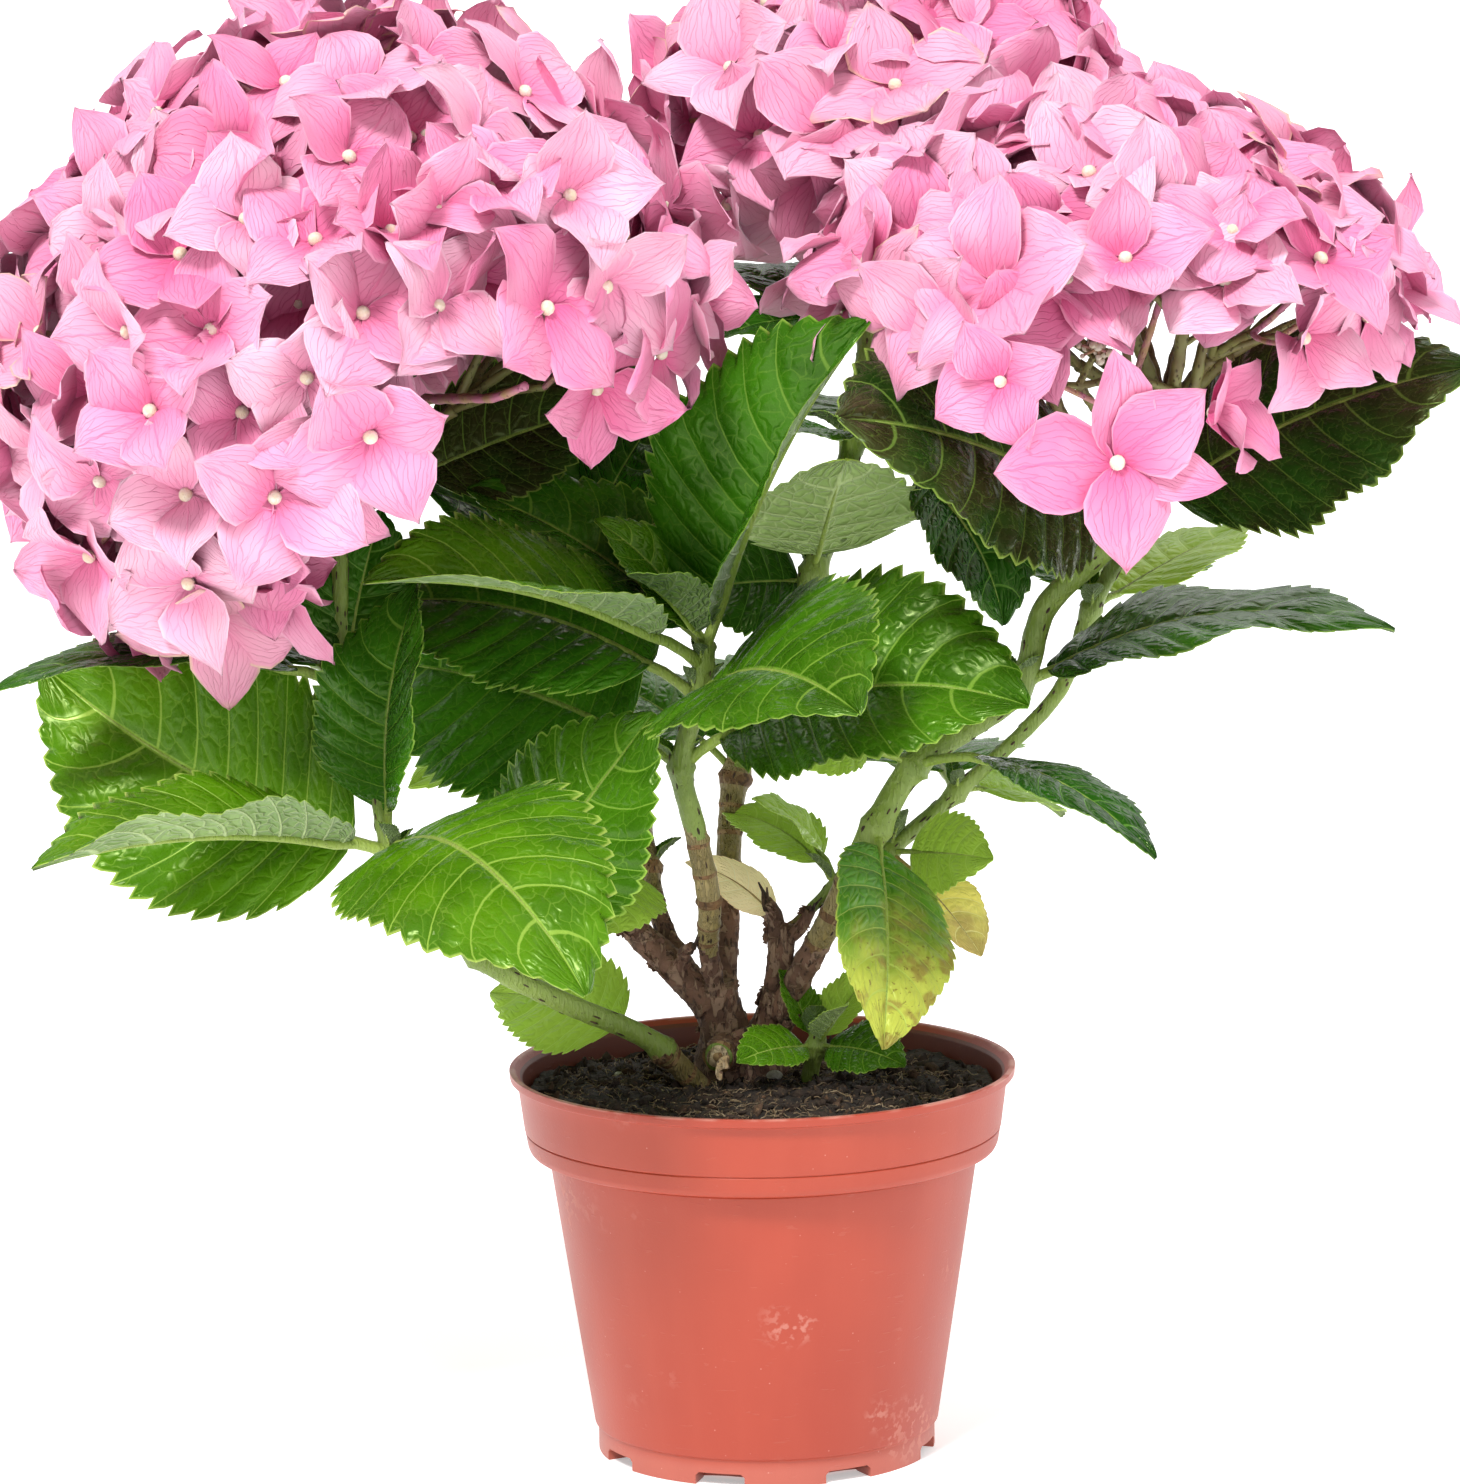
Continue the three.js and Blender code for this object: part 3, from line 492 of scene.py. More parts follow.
class Shader:
    """A material and short ways to wire its nodes. A mask is a number from 0 to 1."""

    def __init__(self, name, **settings):
        self.material = bpy.data.materials.new(name)
        self.material.use_nodes = True
        self.tree = self.material.node_tree
        self.surface = self.tree.nodes["Principled BSDF"]
        for socket, value in settings.items():
            self.surface.inputs[socket.replace("_", " ")].default_value = value

    def plug(self, value, socket):
        if isinstance(value, bpy.types.NodeSocket):
            self.tree.links.new(value, socket)
        else:
            socket.default_value = value

    def node(self, kind, inputs, **settings):
        made = self.tree.nodes.new("ShaderNode" + kind)
        for name, value in settings.items():
            setattr(made, name, value)
        for socket, value in inputs.items():
            self.plug(value, made.inputs[socket])
        return made

    @cached_property
    def place(self):
        """The point's place on the object, in metres."""
        return self.node("TexCoord", {}).outputs["Object"]

    @cached_property
    def height(self):
        return self.node("SeparateXYZ", {0: self.place}).outputs[2]

    def chart(self, name):
        """The two numbers of a map."""
        made = self.node("UVMap", {}, uv_map=name).outputs[0]
        return self.node("SeparateXYZ", {0: made}).outputs[:2]

    def math(self, operation, *values):
        return self.node("Math", dict(enumerate(values)), operation=operation).outputs[0]

    def times(self, first, second):
        return self.math("MULTIPLY", first, second)

    def scaled(self, value, factor, plus):
        return self.math("MULTIPLY_ADD", value, factor, plus)

    def most(self, first, second):
        return self.math("MAXIMUM", first, second)

    def rises(self, value, low, high, ends=(0.0, 1.0)):
        """A mask that rises smoothly as a value goes from low to high."""
        inputs = {"Value": value, "From Min": low, "From Max": high, "To Min": ends[0], "To Max": ends[1]}
        return self.node("MapRange", inputs, interpolation_type="SMOOTHSTEP").outputs["Result"]

    def falls(self, value, low, high):
        return self.rises(value, low, high, (1.0, 0.0))

    def stretched(self, x, y, z):
        return self.node("Mapping", {"Vector": self.place, "Scale": (x, y, z)}).outputs[0]

    def noise(self, scale, detail, where=None, distortion=0.0):
        where = self.place if where is None else where
        inputs = {"Vector": where, "Scale": scale, "Detail": detail, "Distortion": distortion}
        return self.node("TexNoise", inputs).outputs[0]

    def patches(self, scale, detail, low, high, where=None, distortion=0.0):
        """A mask of soft patches, where a noise is high."""
        return self.rises(self.noise(scale, detail, where, distortion), low, high)

    def specks(self, scale, low, high, where=None):
        """A mask of small round dots."""
        inputs = {"Vector": self.place if where is None else where, "Scale": scale}
        return self.falls(self.node("TexVoronoi", inputs).outputs["Distance"], low, high)

    def off_net(self, x, y):
        """How far a point of a flat chart is from the lines between its random cells."""
        inputs = {"Vector": self.node("CombineXYZ", {0: x, 1: y}).outputs[0], "Scale": 1.0}
        made = self.node("TexVoronoi", inputs, feature="DISTANCE_TO_EDGE", voronoi_dimensions="2D")
        return made.outputs["Distance"]

    def coats(self, base, *coats):
        """Colours laid over a base one after another, each by its mask and the mask's strength."""
        base = colour(base) if isinstance(base, str) else base
        for mask, strength, code in coats:
            share = mask if strength == 1 else self.times(mask, strength)
            base = self.node("Mix", {0: share, 6: base, 7: colour(code)}, data_type="RGBA").outputs[2]
        return base

    def finish(self, base, roughness, relief, depth):
        """The material with its colour, roughness and relief of a depth in metres."""
        bump = self.node("Bump", {"Height": relief, "Distance": depth}).outputs[0]
        for socket, value in (("Base Color", base), ("Roughness", roughness), ("Normal", bump)):
            self.plug(value, self.surface.inputs[socket])
        return self.material


def vein_pattern(shader, vein, rib, net):
    """How near a point of a blade is to its edge, veins and net, and how it swells in between."""
    x, y = shader.chart("Blade")
    reach = shader.math("ABSOLUTE", shader.scaled(y, 2.0, -1.0))
    right = shader.math("GREATER_THAN", y, 0.5)
    phase = shader.scaled(right, VEIN_OFFSETS[0] - VEIN_OFFSETS[1], x)
    turned = shader.math("FRACT", shader.math("SUBTRACT", phase, VEIN_OFFSETS[0] - 0.5))
    away = shader.math("ABSOLUTE", shader.math("SUBTRACT", turned, 0.5))
    off_vein = shader.math("DIVIDE", away, shader.scaled(reach, -0.65 * vein, vein))
    veins = shader.most(shader.falls(off_vein, 0.35, 1.0), shader.falls(reach, rib * 0.5, rib))
    wobble = shader.noise(260.0, 1.0)
    net_x = shader.scaled(right, 40.0, shader.scaled(x, 2.1, wobble))
    off_net = shader.off_net(net_x, shader.scaled(y, 12.0, wobble))
    pillow = shader.times(shader.rises(off_net, 0.0, 0.36), shader.rises(away, 0.0, 0.3))
    return reach, veins, shader.falls(off_net, 0.012, net), pillow


# thin and dry leaves pass some of the light from behind, given here as a little light of their own
GLOWS = {
    "leaf_dying": 0.2, "leaf_withered": 0.22, "leaf_pale": 0.18,
    "underside_dry": 0.22, "underside_thin": 0.1,
}


def leaf_material(name, face, shade, vein, rim, roughness):
    """The upper side of a leaf: quilted between its veins, with a paler net and rim."""
    full_name = "leaf_" + name
    shader = Shader(full_name, Specular_IOR_Level=0.42, Specular_Tint=(0.8, 1.0, 0.4, 1.0),
                    Emission_Color=colour(face), Emission_Strength=GLOWS.get(full_name, 0))
    reach, veins, net, pillow = vein_pattern(shader, 0.05, 0.035, 0.045)
    grain = shader.noise(900.0, 1.0)
    base = shader.coats(face, (shader.patches(55.0, 1.0, 0.35, 0.65), 1, shade))
    if name in BLOTCHES:
        base = BLOTCHES[name](shader, base)
    edge = shader.rises(reach, 0.965, 0.995)
    base = shader.coats(base, (net, 0.26, vein), (veins, 0.75, vein), (edge, 0.7, rim))
    swollen = shader.scaled(grain, 0.05, shader.scaled(veins, -0.35, pillow))
    return shader.finish(base, shader.scaled(grain, 0.14, roughness - 0.07), swollen, 0.0002)


def underside_material(name, face, shade, vein):
    """The matt lower side of a leaf, with its net of veins standing out."""
    full_name = "underside_" + name
    shader = Shader(full_name, Sheen_Weight=0.15, Emission_Color=colour(face),
                    Emission_Strength=GLOWS.get(full_name, 0))
    _, veins, net, pillow = vein_pattern(shader, 0.1, 0.06, 0.13)
    broad = shader.patches(60.0, 1.0, 0.35, 0.65)
    base = shader.coats(face, (broad, 1, shade), (net, 0.5, vein), (veins, 0.85, vein))
    raised = shader.scaled(pillow, -0.8, shader.scaled(veins, 0.7, shader.times(net, 0.5)))
    return shader.finish(base, 0.58, raised, 0.0006)


def ageing(shader, base):
    """The lower half of the yellowing leaf: mottled with brown, with dark specks."""
    level = shader.scaled(shader.noise(90.0, 3.0), 0.03, shader.height)
    low = shader.falls(level, 0.158, 0.175)
    brown = shader.times(shader.patches(150.0, 4.0, 0.48, 0.62), low)
    dark = shader.times(shader.patches(700.0, 2.0, 0.62, 0.7), low)
    yellow = shader.falls(level, 0.148, 0.178)
    return shader.coats(base, (yellow, 1, "#b5bc4c"), (brown, 0.75, "#8a7238"), (dark, 0.7, "#6b5226"))


def scorching(shader, base):
    """The dry brown tip of a leaf that is nearly dead."""
    level = shader.scaled(shader.noise(110.0, 3.0), 0.02, shader.height)
    return shader.coats(base, (shader.falls(level, 0.152, 0.161), 0.85, "#a07c4e"))


def bronzing(shader, base):
    """The reddish brown that flushes an old leaf in the sun."""
    return shader.coats(base, (shader.patches(30.0, 3.0, 0.4, 0.62), 0.5, "#432f22"))


def stem_material(name, face, shade, depth=0.00022, light="#b5c480"):
    """Smooth green stem: faint long streaks, with tiny pits."""
    shader = Shader(name)
    streaks = shader.patches(1400.0, 3.0, 0.4, 0.7, shader.stretched(1.0, 1.0, 0.18))
    pits = shader.specks(700.0, 0.1, 0.2)
    broad = shader.patches(70.0, 3.0, 0.35, 0.65)
    base = shader.coats(face, (broad, 1, shade), (streaks, 0.22, light), (pits, 0.45, "#5a5a32"))
    relief = shader.scaled(pits, -0.4, streaks)
    return shader.finish(base, shader.scaled(streaks, 0.15, 0.42), relief, depth)


def bark_material(name, face, shade, light):
    """Dry bark, smooth and reddish, with paler scales, cross scars and a few splits along the limb."""
    shader = Shader(name)
    long_way, cross_way = shader.stretched(1.0, 1.0, 0.4), shader.stretched(0.35, 0.35, 1.6)
    scales = shader.patches(480.0, 3.0, 0.5, 0.58, long_way, 0.5)
    scars = shader.patches(700.0, 2.0, 0.6, 0.68, cross_way)
    splits = shader.falls(shader.noise(700.0, 2.0, long_way), 0.34, 0.42)
    grain = shader.noise(2600.0, 2.0, long_way)
    base = shader.coats(face, (shader.patches(150.0, 2.0, 0.38, 0.62), 1, shade), (scales, 0.6, light),
                        (scars, 0.35, light), (splits, 0.6, "#3a2820"))
    relief = shader.scaled(scars, 0.5, shader.scaled(splits, -0.8, shader.times(scales, 0.7)))
    relief = shader.scaled(grain, 0.3, relief)
    return shader.finish(base, shader.scaled(grain, 0.2, 0.62), relief, 0.0006)


def sepal_material(name, face, heart, edge):
    """A sepal: soft pink, deeper at its heart, with fine branching veins and a pale thin edge."""
    shader = Shader("sepal_" + name, Sheen_Weight=0.08, Specular_IOR_Level=0.3)
    x, y = shader.chart("Sepal")
    reach = shader.math("ABSOLUTE", shader.scaled(y, 2.0, -1.0))
    fan = shader.math("ADD", shader.times(y, shader.scaled(x, 7.0, 9.0)), shader.noise(240.0, 1.0))
    net = shader.falls(shader.off_net(shader.times(x, 2.6), fan), 0.0, 0.06)
    rib = shader.falls(reach, 0.01, 0.045)
    lines = shader.most(shader.times(net, 0.28), shader.times(rib, 0.4))
    rim = shader.most(shader.rises(reach, 0.88, 1.0), shader.times(shader.rises(x, 0.86, 1.0), 0.7))
    broad = shader.patches(60.0, 1.0, 0.35, 0.7)
    base = shader.coats(face, (broad, 0.5, face if name == "tanned" else edge),
                        (shader.falls(x, -0.05, 0.62), 0.75, heart), (lines, 1, heart), (rim, 0.7, edge))
    relief = shader.scaled(rib, -0.5, shader.times(net, -0.5))
    return shader.finish(base, shader.scaled(broad, 0.1, 0.5), relief, 0.00022)


def bud_material(name, face, shade):
    shader = Shader(name, Sheen_Weight=0.2)
    base = shader.coats(face, (shader.patches(500.0, 3.0, 0.35, 0.65), 1, shade))
    return shader.finish(base, 0.5, shader.noise(1800.0, 2.0), 0.0003)


def ray_material(name, face, shade, speck):
    """A ray of a flower head, speckled along its length."""
    shader = Shader(name)
    specks = shader.specks(900.0, 0.16, 0.3, shader.stretched(1, 1, 0.5))
    base = shader.coats(face, (shader.patches(160.0, 3.0, 0.35, 0.65), 1, shade), (specks, 0.6, speck))
    return shader.finish(base, 0.5, specks, 0.0003)


def soil_material(name, face, shade, light):
    shader = Shader(name)
    crumbs = shader.noise(900.0, 4.0)
    base = shader.coats(face, (shader.patches(240.0, 2.0, 0.35, 0.65), 1, shade),
                        (shader.patches(520.0, 2.0, 0.6, 0.72), 0.6, light))
    return shader.finish(base, shader.scaled(crumbs, 0.2, 0.78), crumbs, 0.0012)


def pot_material():
    """Terracotta-coloured plastic: satin, with fine scratches, scuffs, dust and a chalky foot."""
    shader = Shader("pot_plastic", Coat_Weight=0.08, Coat_Roughness=0.35)
    height, fine = shader.height, shader.noise(1500.0, 2.0)
    flow = shader.noise(90.0, 2.0, shader.stretched(1.0, 1.0, 0.12))
    scratches = shader.patches(160.0, 3.0, 0.66, 0.72, shader.stretched(1.0, 1.0, 5.0), 0.4)
    scuffs = shader.times(shader.patches(34.0, 2.0, 0.6, 0.72), shader.patches(420.0, 2.0, 0.5, 0.62))
    worn = shader.times(shader.rises(height, 0.1072, 0.1079), shader.rises(flow, 0.42, 0.6))
    flat = shader.node("VectorMath", {0: shader.place, 1: (1, 1, 0)}, operation="MULTIPLY").outputs[0]
    away = shader.node("VectorMath", {0: flat}, operation="LENGTH").outputs["Value"]
    inward = shader.math("LESS_THAN", shader.scaled(height, -0.12, away), 0.0543)
    base = shader.coats(
        "#b4442b",
        (shader.patches(14.0, 3.0, 0.3, 0.7), 1, "#a93c25"),
        (shader.rises(flow, 0.4, 0.7), 0.12, "#c4573e"),
        (scratches, 0.05, "#ecab99"),
        (scuffs, 0.3, "#e9b3a3"),
        (shader.specks(210.0, 0.02, 0.06), 0.3, "#efc4b6"),
        (shader.rises(height, 0.0085, 0.004), 0.18, "#e8a898"),
        (shader.rises(height, 0.1052, 0.1058), 0.45, "#a93c26"),
        (worn, 0.35, "#e6b5a4"),
        # the inner wall over the soil, dark brown: painted shade inside the pot, with soil smeared on the
        # wall
        (shader.times(inward, shader.math("GREATER_THAN", height, 0.0905)), 0.75, "#5f3a30"),
    )
    relief = shader.scaled(scuffs, 0.3, shader.scaled(scratches, 0.25, shader.times(fine, 0.2)))
    return shader.finish(base, shader.scaled(scuffs, 0.2, shader.scaled(fine, 0.1, 0.36)), relief, 0.0002)


def dressed(material, looks):
    """Materials of one kind, from a name and colours for each."""
    return [material(name, *rest) for name, *rest in looks]


# ---- thin sheets --------------------------------------------------------------------------

CAP_ON_MAP = 2e-3  # the radius of a tube's end on its maps
TILE_INSET = 0.04  # the share of a tile that is left free at its edges


def tile_map(along_it, across_it, tile, tiles):
    """Where a point of a small square chart lies on the piece's whole map, of tiles by tiles."""
    x = (tile % tiles + TILE_INSET + (1 - 2 * TILE_INSET) * along_it) / tiles
    y = (tile // tiles + TILE_INSET + (1 - 2 * TILE_INSET) * across_it) / tiles
    return np.stack(np.broadcast_arrays(x, y), axis=-1)


def sheet_maps(name, along_chart, along_tile, across, rim, tile_of, tiles):
    """A sheet's two maps, for its upper face, its lower one and the rims on its two sides.

    The first is named and carries its veins. The other packs the tile of each face for baking.
    """
    charts = [across, across, np.array([[1, 1 + rim]]), np.array([[-rim, 0]])]
    return {
        name: [np.stack(np.broadcast_arrays(along_chart, y), axis=-1) for y in charts],
        "OFBake": [tile_map(along_tile, y, tile, tiles) for y, tile in zip(charts, tile_of)],
    }


def cell_map(grid):
    """A map of corners, made from one of points: rows, cells, left or right, and the two numbers."""
    return np.stack([grid[:, :-1], grid[:, 1:]], axis=2)


def add_closed_sheet(gatherer, top, bottom, slots, maps=None):
    """A thin closed sheet from its upper and lower faces, with a rim between them.

    Its edges are sharp where it has maps, as a blade or sepal does.
    """
    rows, columns = top.shape[:2]
    cells = np.repeat([slots[0], slots[1], slots[0]], [columns, columns - 1, 1])
    joined = {}
    for name, (upper, lower, rim, other_rim) in (maps or {}).items():
        parts = [upper, rim, lower[:, ::-1], other_rim]
        joined[name] = np.concatenate([cell_map(part) for part in parts], axis=1)
    edges = (0, columns - 1, columns, 2 * columns - 1) if maps else ()
    places = np.concatenate([top, bottom[:, ::-1]], axis=1)
    gatherer.add_grid(places, np.broadcast_to(cells, (rows - 1, 2 * columns)), maps=joined, creases=edges)


# ---- leaves -------------------------------------------------------------------------------

TEETH_PER_VEIN = 2
ROWS_PER_TOOTH = 4
TOOTH_OUT = np.array([0, 0.4, 0.75, 1.0])  # how far out each row of a tooth stands
TOOTH_AHEAD = np.array([0, 0.05, 0.25, 0.75])  # how many rows it leans towards the tip
VEIN_OFFSETS = (3 / 8, 1 / 8)  # where the first vein ends on the two sides, in spaces between veins
BLADE_COLUMNS = np.array([0, 0.04, 0.13, 0.28, 0.45, 0.62, 0.78, 0.91, 1])
SMALL_COLUMNS = np.array([0, 0.06, 0.2, 0.42, 0.64, 0.84, 1])
VEIN_LEAN = 0.8  # how far a vein runs towards the tip on its way to the margin
VEIN_BEND = 1.4  # the power by which it leans more the further out it is
VEINS_FROM = ((80, 9), (60, 8), (40, 7), (0, 6))  # lengths of leaves over which they have so many veins
LARGE_LEAF = 40  # the length over which a blade and its stalk have finer grids
CHART_STEP = 16  # leaves lie this far apart on the map that the veins are drawn on
BLADE_THICKNESS = 0.45
BLADE_RIM = 0.015  # the width of the rim on a leaf's maps
TOOTH_SIZE, QUILT, WRINKLE = 0.045, 0.025, 0.004  # as shares of the blade's width
WAVES = (0.018, 0.04)  # the least and most depth of its waves, as shares of its width
CURL = 0.07  # how far its edges bend down, as a share of half its width there
RIB_GROOVE = 0.55  # how deep the rib is sunk in the upper face
RIB_END = 0.86  # how far along the blade the rib under it goes
STALK_RADII = (0.6, 1.65)  # of the smallest and the largest leaves

LEAF_TINTS = {  # the face, its shade, the veins, the rim and the roughness
    "bright": ("#55880c", "#437309", "#9cc04c", "#b6cf62", 0.28),
    "fresh": ("#44770d", "#35620a", "#85ad3e", "#a2c352", 0.27),
    "mid": ("#3f7c12", "#2f650e", "#7ba63a", "#9bc04e", 0.26),
    "deep": ("#2f660f", "#22500b", "#68983a", "#8db04a", 0.24),
    "bronze": ("#284e14", "#1c390d", "#76983f", "#98b850", 0.26),
    "glossy": ("#22580f", "#18440b", "#64963a", "#8fb050", 0.17),
    # pale: thin young leaves, paler in their own colour and lighter still as painted light that shines
    # through them from behind
    "pale": ("#9cc044", "#88b034", "#b2d064", "#bcd86a", 0.36),
    "yellowing": ("#4f8a1c", "#417a16", "#a8bb54", "#b4c250", 0.34),
    "dying": ("#f2e77e", "#e6d865", "#f7efb0", "#a8873f", 0.5),
    "withered": ("#f6e3b2", "#eed399", "#fbf0cf", "#cfae74", 0.75),
}
BLOTCHES = {"yellowing": ageing, "dying": scorching, "bronze": bronzing}
UNDERSIDES = {  # the face, its shade and the veins
    "green": ("#7f9f4e", "#6f9042", "#a9bf7c"),
    "dull": ("#6d8a4c", "#5f7d42", "#9db57a"),
    "dry": ("#eeddaa", "#dcc386", "#f4e8c4"),
    "thin": ("#98b464", "#86a352", "#bccf8c"),
}
UNDERSIDE_OF = {"bronze": "dull", "glossy": "dull", "deep": "dull", "dying": "dry", "withered": "dry",
                "pale": "thin"}
LEAF_SLOTS = {name: i for i, name in enumerate([*LEAF_TINTS, *UNDERSIDES])}


def leaf_outline(share):
    """Half the width of a blade, as a share of its widest, at shares of its length."""
    share = np.clip(share, 0, 1)
    return (share / WIDEST) ** OUTLINE["base"] * ((1 - share) / (1 - WIDEST)) ** OUTLINE["tip"]


def leaf_spine(node, spec):
    """Shares of a leaf's whole length, with the place, side and upward way at each."""
    share = np.linspace(0, 1, 161)
    total = spec["stalk"] + spec["length"]

    def turn(at):
        return spec["azimuth"] + spec["sway"] * (at - 0.5)

    def aim(at):
        return heading(turn(at), spec["rise"] + spec["arch"] * (0.5 - at))

    steps = aim((share[1:] + share[:-1]) / 2) * total / (len(share) - 1)
    places = np.asarray(node, float) + np.vstack([np.zeros(3), np.cumsum(steps, axis=0)])
    tangent = aim(share)
    flat = np.radians(turn(share))
    level = np.stack([np.sin(flat), -np.cos(flat), 0 * flat], axis=1)
    roll = np.radians(spec["roll"] + spec["twist"] * (share - 0.5))[:, None]
    side = level * np.cos(roll) - np.cross(tangent, level) * np.sin(roll)
    return {"share": share, "place": places, "side": side, "up": np.cross(side, tangent)}


def on_spine(spine, what, share):
    return rows_at(share, spine["share"], spine[what])


def blade(spine, spec, veins, columns, rng):
    """The upper and lower faces of a serrated, quilted blade, and where each point lies on it."""
    rows = veins * TEETH_PER_VEIN * ROWS_PER_TOOTH + 1
    row = np.arange(rows)[:, None]
    margin = row / (rows - 1)
    lean = 1 + VEIN_LEAN
    start = (lean - np.sqrt(lean**2 - 4 * VEIN_LEAN * margin)) / (2 * VEIN_LEAN)
    across = np.concatenate([-columns[:0:-1], columns])[None]
    reach = np.abs(across)
    left = across < 0
    share = start + VEIN_LEAN * (start * (1 - start)) * reach**VEIN_BEND

    step = np.where(left, row, row + ROWS_PER_TOOTH // 2) % ROWS_PER_TOOTH
    at_edge = ease(reach, 0.78, 1)
    width = spec["width"]
    size = TOOTH_SIZE * spec["teeth"] * width * ease(margin, 0, 0.14) * (1 - 0.55 * ease(margin, 0.8, 1))
    size = size * (1 + 0.25 * np.sin(row * 1.7 + rng.uniform(0, 6)))
    share = 0.004 + 0.99 * (share + at_edge * TOOTH_AHEAD[step] / (rows - 1))
    half = width / 2 * leaf_outline(share)
    lateral = reach * half + at_edge * size * (TOOTH_OUT[step] - 0.35)

    phase = veins * margin - np.where(left, VEIN_OFFSETS[0], VEIN_OFFSETS[1])
    away = np.abs(phase - np.round(phase))
    body = np.sqrt(reach) * (1 - reach**4)
    relief = QUILT * width * np.sin(np.pi * away) ** 0.7 * body
    relief = relief + WRINKLE * width * np.sin(reach * 19 + row * 0.5) * body
    relief = relief - RIB_GROOVE * np.exp(-((lateral / 1.3) ** 2))
    waves = np.zeros_like(share)
    for is_side in (left, ~left):
        turns, phase_here, depth = rng.uniform(1.4, 3.0), rng.uniform(0, 6.3), rng.uniform(*WAVES)
        waves = waves + is_side * depth * width * np.sin(2 * np.pi * turns * share + phase_here)
    relief = relief + waves * reach**2.5 * np.sin(np.pi * np.clip(share, 0, 1)) ** 0.4
    relief = relief - CURL * half * reach**2

    fold = math.radians(spec["fold"])
    total = spec["stalk"] + spec["length"]
    at = (spec["stalk"] + spec["length"] * share) / total
    side, up = on_spine(spine, "side", at), on_spine(spine, "up", at)
    lift = (np.sqrt(lateral**2 + 0.8) - 0.9) * math.sin(fold) + relief
    top = on_spine(spine, "place", at)
    top = top + side * (np.sign(across) * lateral * math.cos(fold))[..., None] + up * lift[..., None]
    ridge = 0.3 * np.exp(-((away / 0.07) ** 2)) * (1 - reach) * (reach > 0)
    depth = BLADE_THICKNESS * (1 - 0.6 * reach**4) + ridge
    return top, top - up * depth[..., None], margin, across


def add_leaf(blades, stalks, node, spec, number, tiles, rng):
    """One leaf: its blade, and its stalk with the rib under the blade."""
    spec = dict(spec, twist=rng.uniform(-10, 10))
    spine = leaf_spine(node, spec)
    large = spec["length"] > LARGE_LEAF
    veins = next(count for over, count in VEINS_FROM if spec["length"] > over)
    top, bottom, margin, across = blade(spine, spec, veins, BLADE_COLUMNS if large else SMALL_COLUMNS, rng)
    underside = UNDERSIDE_OF.get(spec["tint"], "green")
    tiles_of = np.array([0, 1, 0, 0]) + 2 * number
    maps = sheet_maps("Blade", veins * margin + CHART_STEP * number, margin, 0.5 + 0.5 * across,
                      BLADE_RIM, tiles_of, tiles)
    add_closed_sheet(blades, top, bottom, (LEAF_SLOTS[spec["tint"]], LEAF_SLOTS[underside]), maps)

    total = spec["stalk"] + spec["length"]
    base = spec["stalk"] / total
    end = base + (1 - base) * RIB_END
    at = np.linspace(0, end, 16 if large else 10)
    thick = float(np.clip(0.35 + 0.0115 * total, *STALK_RADII))
    radius = thick * (1 - 0.8 * np.clip((at - base) / (end - base), 0, 1) ** 0.8)
    radius = radius * (1 + 0.45 * np.exp(-((at * total / 2.5) ** 2)))
    sink = ease(at, base * 0.9, base + 0.03) * (0.6 + radius * 0.45)
    path = on_spine(spine, "place", at) - on_spine(spine, "up", at) * sink[:, None]
    stalks.add_tube(path, radius, 10 if large else 7, int(underside == "dry"))


def axillary_leaves(rng):
    """The pair of small buds that break in the axils of a node, as tiny folded leaves."""
    first = rng.uniform(0, 360)
    for turn in (0, 180):
        length = rng.uniform(7, 15)
        azimuth = first + turn + rng.uniform(-20, 20)
        yield leaf(azimuth, rng.uniform(35, 65), 2, length, length * 0.55, "fresh", arch=30,
                   roll=rng.uniform(-15, 15), fold=rng.uniform(25, 45))


LEAF_GROUPS = {
    "leaves_front": ["leaves_front_top", "leaves_front_apex", "leaves_front_middle", "leaves_front_low",
                     "leaf_yellowing", "leaves_basal", "leaf_low_shoot"],
    "leaves_left": ["leaves_low_left", "leaves_left_middle", "leaves_left_upper", "leaf_left_low"],
    "leaves_right": ["leaves_right_low", "leaves_right_middle", "leaves_right_upper", "leaves_right_rear",
                     "leaves_right_rear_low", "leaves_side_twig", "leaves_twig_tip", "leaf_withered"],
    "leaves_rear": ["leaves_left_rear", "leaves_left_inner", "leaves_rear_low", "leaf_rear_pale",
                    "leaves_rear_middle", "leaves_rear_upper"],
}
# leaves that stand apart from the nodes of their masses
STRAY_LEAVES = {
    "leaves_rear": [((-96, 4, 272), leaf(10, 18, 6, 60, 42, "bronze", arch=10, roll=-52, fold=16)),
                    ((16, 46, 236), leaf(185, -4, 4, 36, 36, "deep", arch=20, roll=48, fold=10))],
}
BUDLESS = ("leaf_yellowing", "leaves_basal", "leaf_low_shoot", "leaf_withered", "leaves_front_apex")
STALK_FINISHES = [("petiole", "#9cb34a", "#88a23c"), ("dry_petiole", "#c0a468", "#a98c50")]


def make_leaves():
    """Every leaf of the plant, in a few pieces by the side of the plant they grow on."""
    rng = np.random.default_rng(SEED)
    materials = dressed(leaf_material, [(name, *looks) for name, looks in LEAF_TINTS.items()])
    materials += dressed(underside_material, [(name, *looks) for name, looks in UNDERSIDES.items()])
    stalks = Gatherer()
    for group, names in LEAF_GROUPS.items():
        grown = []
        for name in names:
            node, specs = MASSES[name]
            grown += [(node, spec) for spec in specs]
            if name not in BUDLESS:
                grown += [(node, spec) for spec in axillary_leaves(rng)]
        grown += STRAY_LEAVES.get(group, [])
        tiles = math.ceil(math.sqrt(2 * len(grown)))
        blades = Gatherer("Blade", "OFBake")
        for number, (node, spec) in enumerate(grown):
            add_leaf(blades, stalks, node, spec, number, tiles, rng)
        settle(blades.build(group, materials), "leaf", *names)
    settle(stalks.build("leaf_stalks", dressed(stem_material, STALK_FINISHES)), "green_stem")


# ---- stems and bark -----------------------------------------------------------------------

